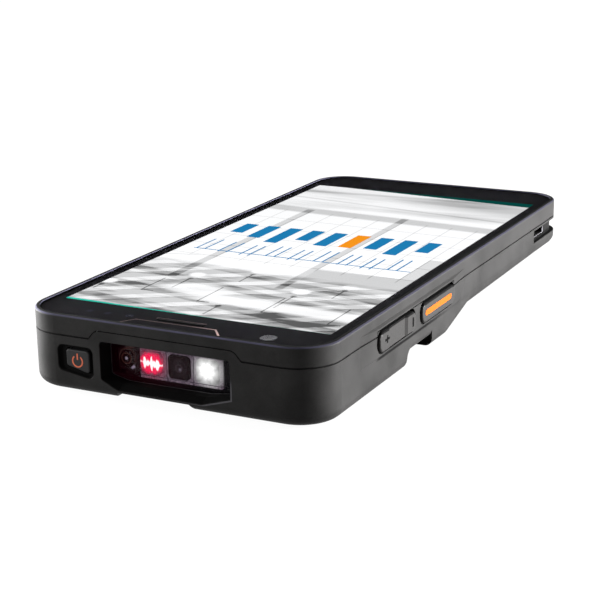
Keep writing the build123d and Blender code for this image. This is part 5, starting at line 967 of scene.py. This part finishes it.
# ---------------------------------------------------------------- marks on the keys
def power_mark():
    """Ring open at the top, and its bar, printed on the power key in ink with a faint painted glow."""
    x, z = POWER_MARK
    # Ink with a faint painted glow over its own colour.
    ink = Finish("power_mark_ink_painted_glow", Specular_IOR_Level=0.3, Emission_Strength=0.22)
    cloud = ink.noise(3.0)
    ink.vary(
        Base_Color=ink.mix(cloud, (0.36, 0.075, 0.035, 1.0), (0.46, 0.11, 0.05, 1.0)),
        Emission_Color=ink.mix(cloud, (0.6, 0.1, 0.04, 1.0), (0.8, 0.16, 0.07, 1.0)),
        Roughness=ink.ramp(cloud, 0.3, 0.7, 0.4, 0.55),
    )
    half_gap, wide, narrow = 38, 1.5, 1.17
    turns = [math.radians(90 + half_gap + (360 - 2 * half_gap) * step / 32) for step in range(33)]
    outer = [(x + wide * math.cos(t), z + wide * math.sin(t)) for t in turns]
    inner = [(x + narrow * math.cos(t), z + narrow * math.sin(t)) for t in reversed(turns)]
    face = POWER_FACE_Y - 0.015
    mesh = sheet_mesh("power_mark_ring", [outer + inner], on_front(face), 0.01)
    new_piece("power_mark_ring", mesh, ink, "power_button")
    bar = [(x - 0.17, z + 0.35), (x + 0.17, z + 0.35), (x + 0.17, z + 1.85), (x - 0.17, z + 1.85)]
    mesh = sheet_mesh("power_mark_bar", [bar], on_front(face), 0.01)
    new_piece("power_mark_bar", mesh, ink, "power_button")


def rocker_marks():
    """Plus and minus printed on the ends of the rocker."""
    ink = Finish("key_mark_ink", Specular_IOR_Level=0.02)
    ink.vary(
        Base_Color=ink.mix(ink.noise(3.0), grey(0.001), grey(0.002)),
        Roughness=ink.ramp(ink.noise(2.0), 0.3, 0.7, 0.7, 0.85),
    )
    y, z = -50.35, POCKET_MID - 0.025
    half, far, high = 0.3, 1.25, 0.95
    plus = [
        (y - half, z - high), (y + half, z - high), (y + half, z - half), (y + far, z - half),
        (y + far, z + half), (y + half, z + half), (y + half, z + high), (y - half, z + high),
        (y - half, z + half), (y - far, z + half), (y - far, z - half), (y - half, z - half),
    ]
    face = ROCKER_FACE_X + 0.012
    mesh = sheet_mesh("volume_mark_plus", [plus], on_right(face), 0.01)
    new_piece("volume_mark_plus", mesh, ink, "volume_rocker")
    minus = [(-35.75, 10.5), (-34.9, 10.5), (-34.9, 12.8), (-35.75, 12.8)]
    mesh = sheet_mesh("volume_mark_minus", [minus], on_right(face), 0.01)
    new_piece("volume_mark_minus", mesh, ink, "volume_rocker")


# ---------------------------------------------------------------- studio
def looked_at(tree):
    """1 for rays seen straight, mirrored or through glass, and 0 for rays that only carry light."""
    path = tree.nodes.new("ShaderNodeLightPath")
    seen = path.outputs["Is Camera Ray"]
    for name in ("Is Glossy Ray", "Is Transmission Ray"):
        most = tree.nodes.new("ShaderNodeMath")
        most.operation = "MAXIMUM"
        tree.links.new(seen, most.inputs[0])
        tree.links.new(path.outputs[name], most.inputs[1])
        seen = most.outputs[0]
    return seen


def white_room():
    """White all round where it is looked at, and dimmer as a light."""
    world = bpy.data.worlds.new("studio")
    bpy.context.scene.world = world
    world.use_nodes = True
    tree = world.node_tree
    backdrop = tree.nodes["Background"]
    backdrop.inputs["Color"].default_value = grey(1.0)
    level = tree.nodes.new("ShaderNodeMapRange")
    level.inputs["To Min"].default_value = 0.22
    level.inputs["To Max"].default_value = 1.0
    tree.links.new(looked_at(tree), level.inputs["Value"])
    tree.links.new(level.outputs["Result"], backdrop.inputs["Strength"])


def paper_floor():
    """Round sheet of paper under the object: it glows white where it is looked at and keeps a soft shadow."""
    floor = bpy.data.objects.new("floor", bpy.data.meshes.new("floor"))
    bpy.context.scene.collection.objects.link(floor)
    shape = bmesh.new()
    bmesh.ops.create_circle(shape, cap_ends=True, segments=64, radius=6.0)
    shape.to_mesh(floor.data)
    shape.free()
    floor.location = (0.0, 0.0, -0.0003)
    paper = Finish("floor_paper", Roughness=0.9, Specular_IOR_Level=0.0)
    fleck = paper.noise(0.4, 2.0)
    paper.vary(Base_Color=paper.mix(fleck, grey(0.19), grey(0.21)))
    shadow = paper.shader.outputs[0]
    glow = paper.node("Emission", {}, {"Color": grey(1.0), "Strength": 1.34})
    ray = Wire(paper, looked_at(paper.tree))
    both = paper.node("MixShader", {}, {0: ray * 0.72, 1: Wire(paper, shadow), 2: glow})
    paper.tree.links.new(both.socket, paper.tree.nodes["Material Output"].inputs["Surface"])
    floor.data.materials.append(paper.material)


def softboxes():
    """Square lamps aimed at the middle of the object: name, place and width in metres, and watts."""
    aim = Vector((0, 0, 0.01))
    for name, spot, size, watts in (
        ("softbox_right", (0.75, 0.48, 0.12), 0.4, 62.0),
        ("softbox_over", (-0.2, 0.3, 1.2), 1.0, 5.0),
        ("softbox_front", (-0.2, -0.2, 0.06), 0.1, 0.45),
        ("softbox_left", (-0.9, 0.1, 0.07), 0.4, 90.0),
    ):
        lamp = bpy.data.lights.new(name, "AREA")
        lamp.shape = "SQUARE"
        lamp.size = size
        lamp.energy = watts
        box = bpy.data.objects.new(name, lamp)
        box.location = spot
        box.rotation_euler = (aim - Vector(spot)).to_track_quat("-Z", "Y").to_euler()
        bpy.context.scene.collection.objects.link(box)


def black_card():
    """Tall card behind the object that only mirrors see, so the glass and the rim reflect black."""
    sheet = [(-900, 60), (900, 60), (900, 900), (-900, 900)]
    card = bpy.data.objects.new("black_card", sheet_mesh("black_card", [sheet], on_front(0.0), 0.0))
    bpy.context.scene.collection.objects.link(card)
    card.location = (-0.33, 0.62, 0.0)
    card.rotation_euler = (0.0, 0.0, math.radians(27.1))
    velvet = Finish("card_velvet", Roughness=1.0, Specular_IOR_Level=0.0)
    velvet.vary(Base_Color=velvet.mix(velvet.noise(0.05), grey(0.0004), grey(0.0008)))
    card.data.materials.append(velvet.material)
    for seen_by in ("camera", "diffuse", "shadow", "transmission"):
        setattr(card, "visible_" + seen_by, False)


def studio():
    bpy.context.scene.view_settings.view_transform = "Standard"
    white_room()
    paper_floor()
    softboxes()
    black_card()


def set_camera():
    """Camera over the scanner end, a little to the right and slightly tilted."""
    azimuth, elevation, roll = (math.radians(angle) for angle in (27.116, 16.408, -0.925))
    back = Vector((
        math.sin(azimuth) * math.cos(elevation),
        -math.cos(azimuth) * math.cos(elevation),
        math.sin(elevation),
    ))
    right = (-back).cross(Vector((0.0, 0.0, 1.0))).normalized()
    up = right.cross(-back)
    tilted = right * math.cos(roll) + up * math.sin(roll)
    upright = -right * math.sin(roll) + up * math.cos(roll)
    lens = bpy.data.cameras.new("camera")
    lens.sensor_width = 36.0
    lens.lens = 92.187
    camera = bpy.data.objects.new("camera", lens)
    camera.matrix_world = Matrix.Translation((0.173973, -0.355342, 0.119374)) @ Matrix(
        (tilted, upright, back)
    ).transposed().to_4x4()
    bpy.context.scene.collection.objects.link(camera)
    bpy.context.scene.camera = camera


glass_print()
power_mark()
rocker_marks()
studio()
set_camera()
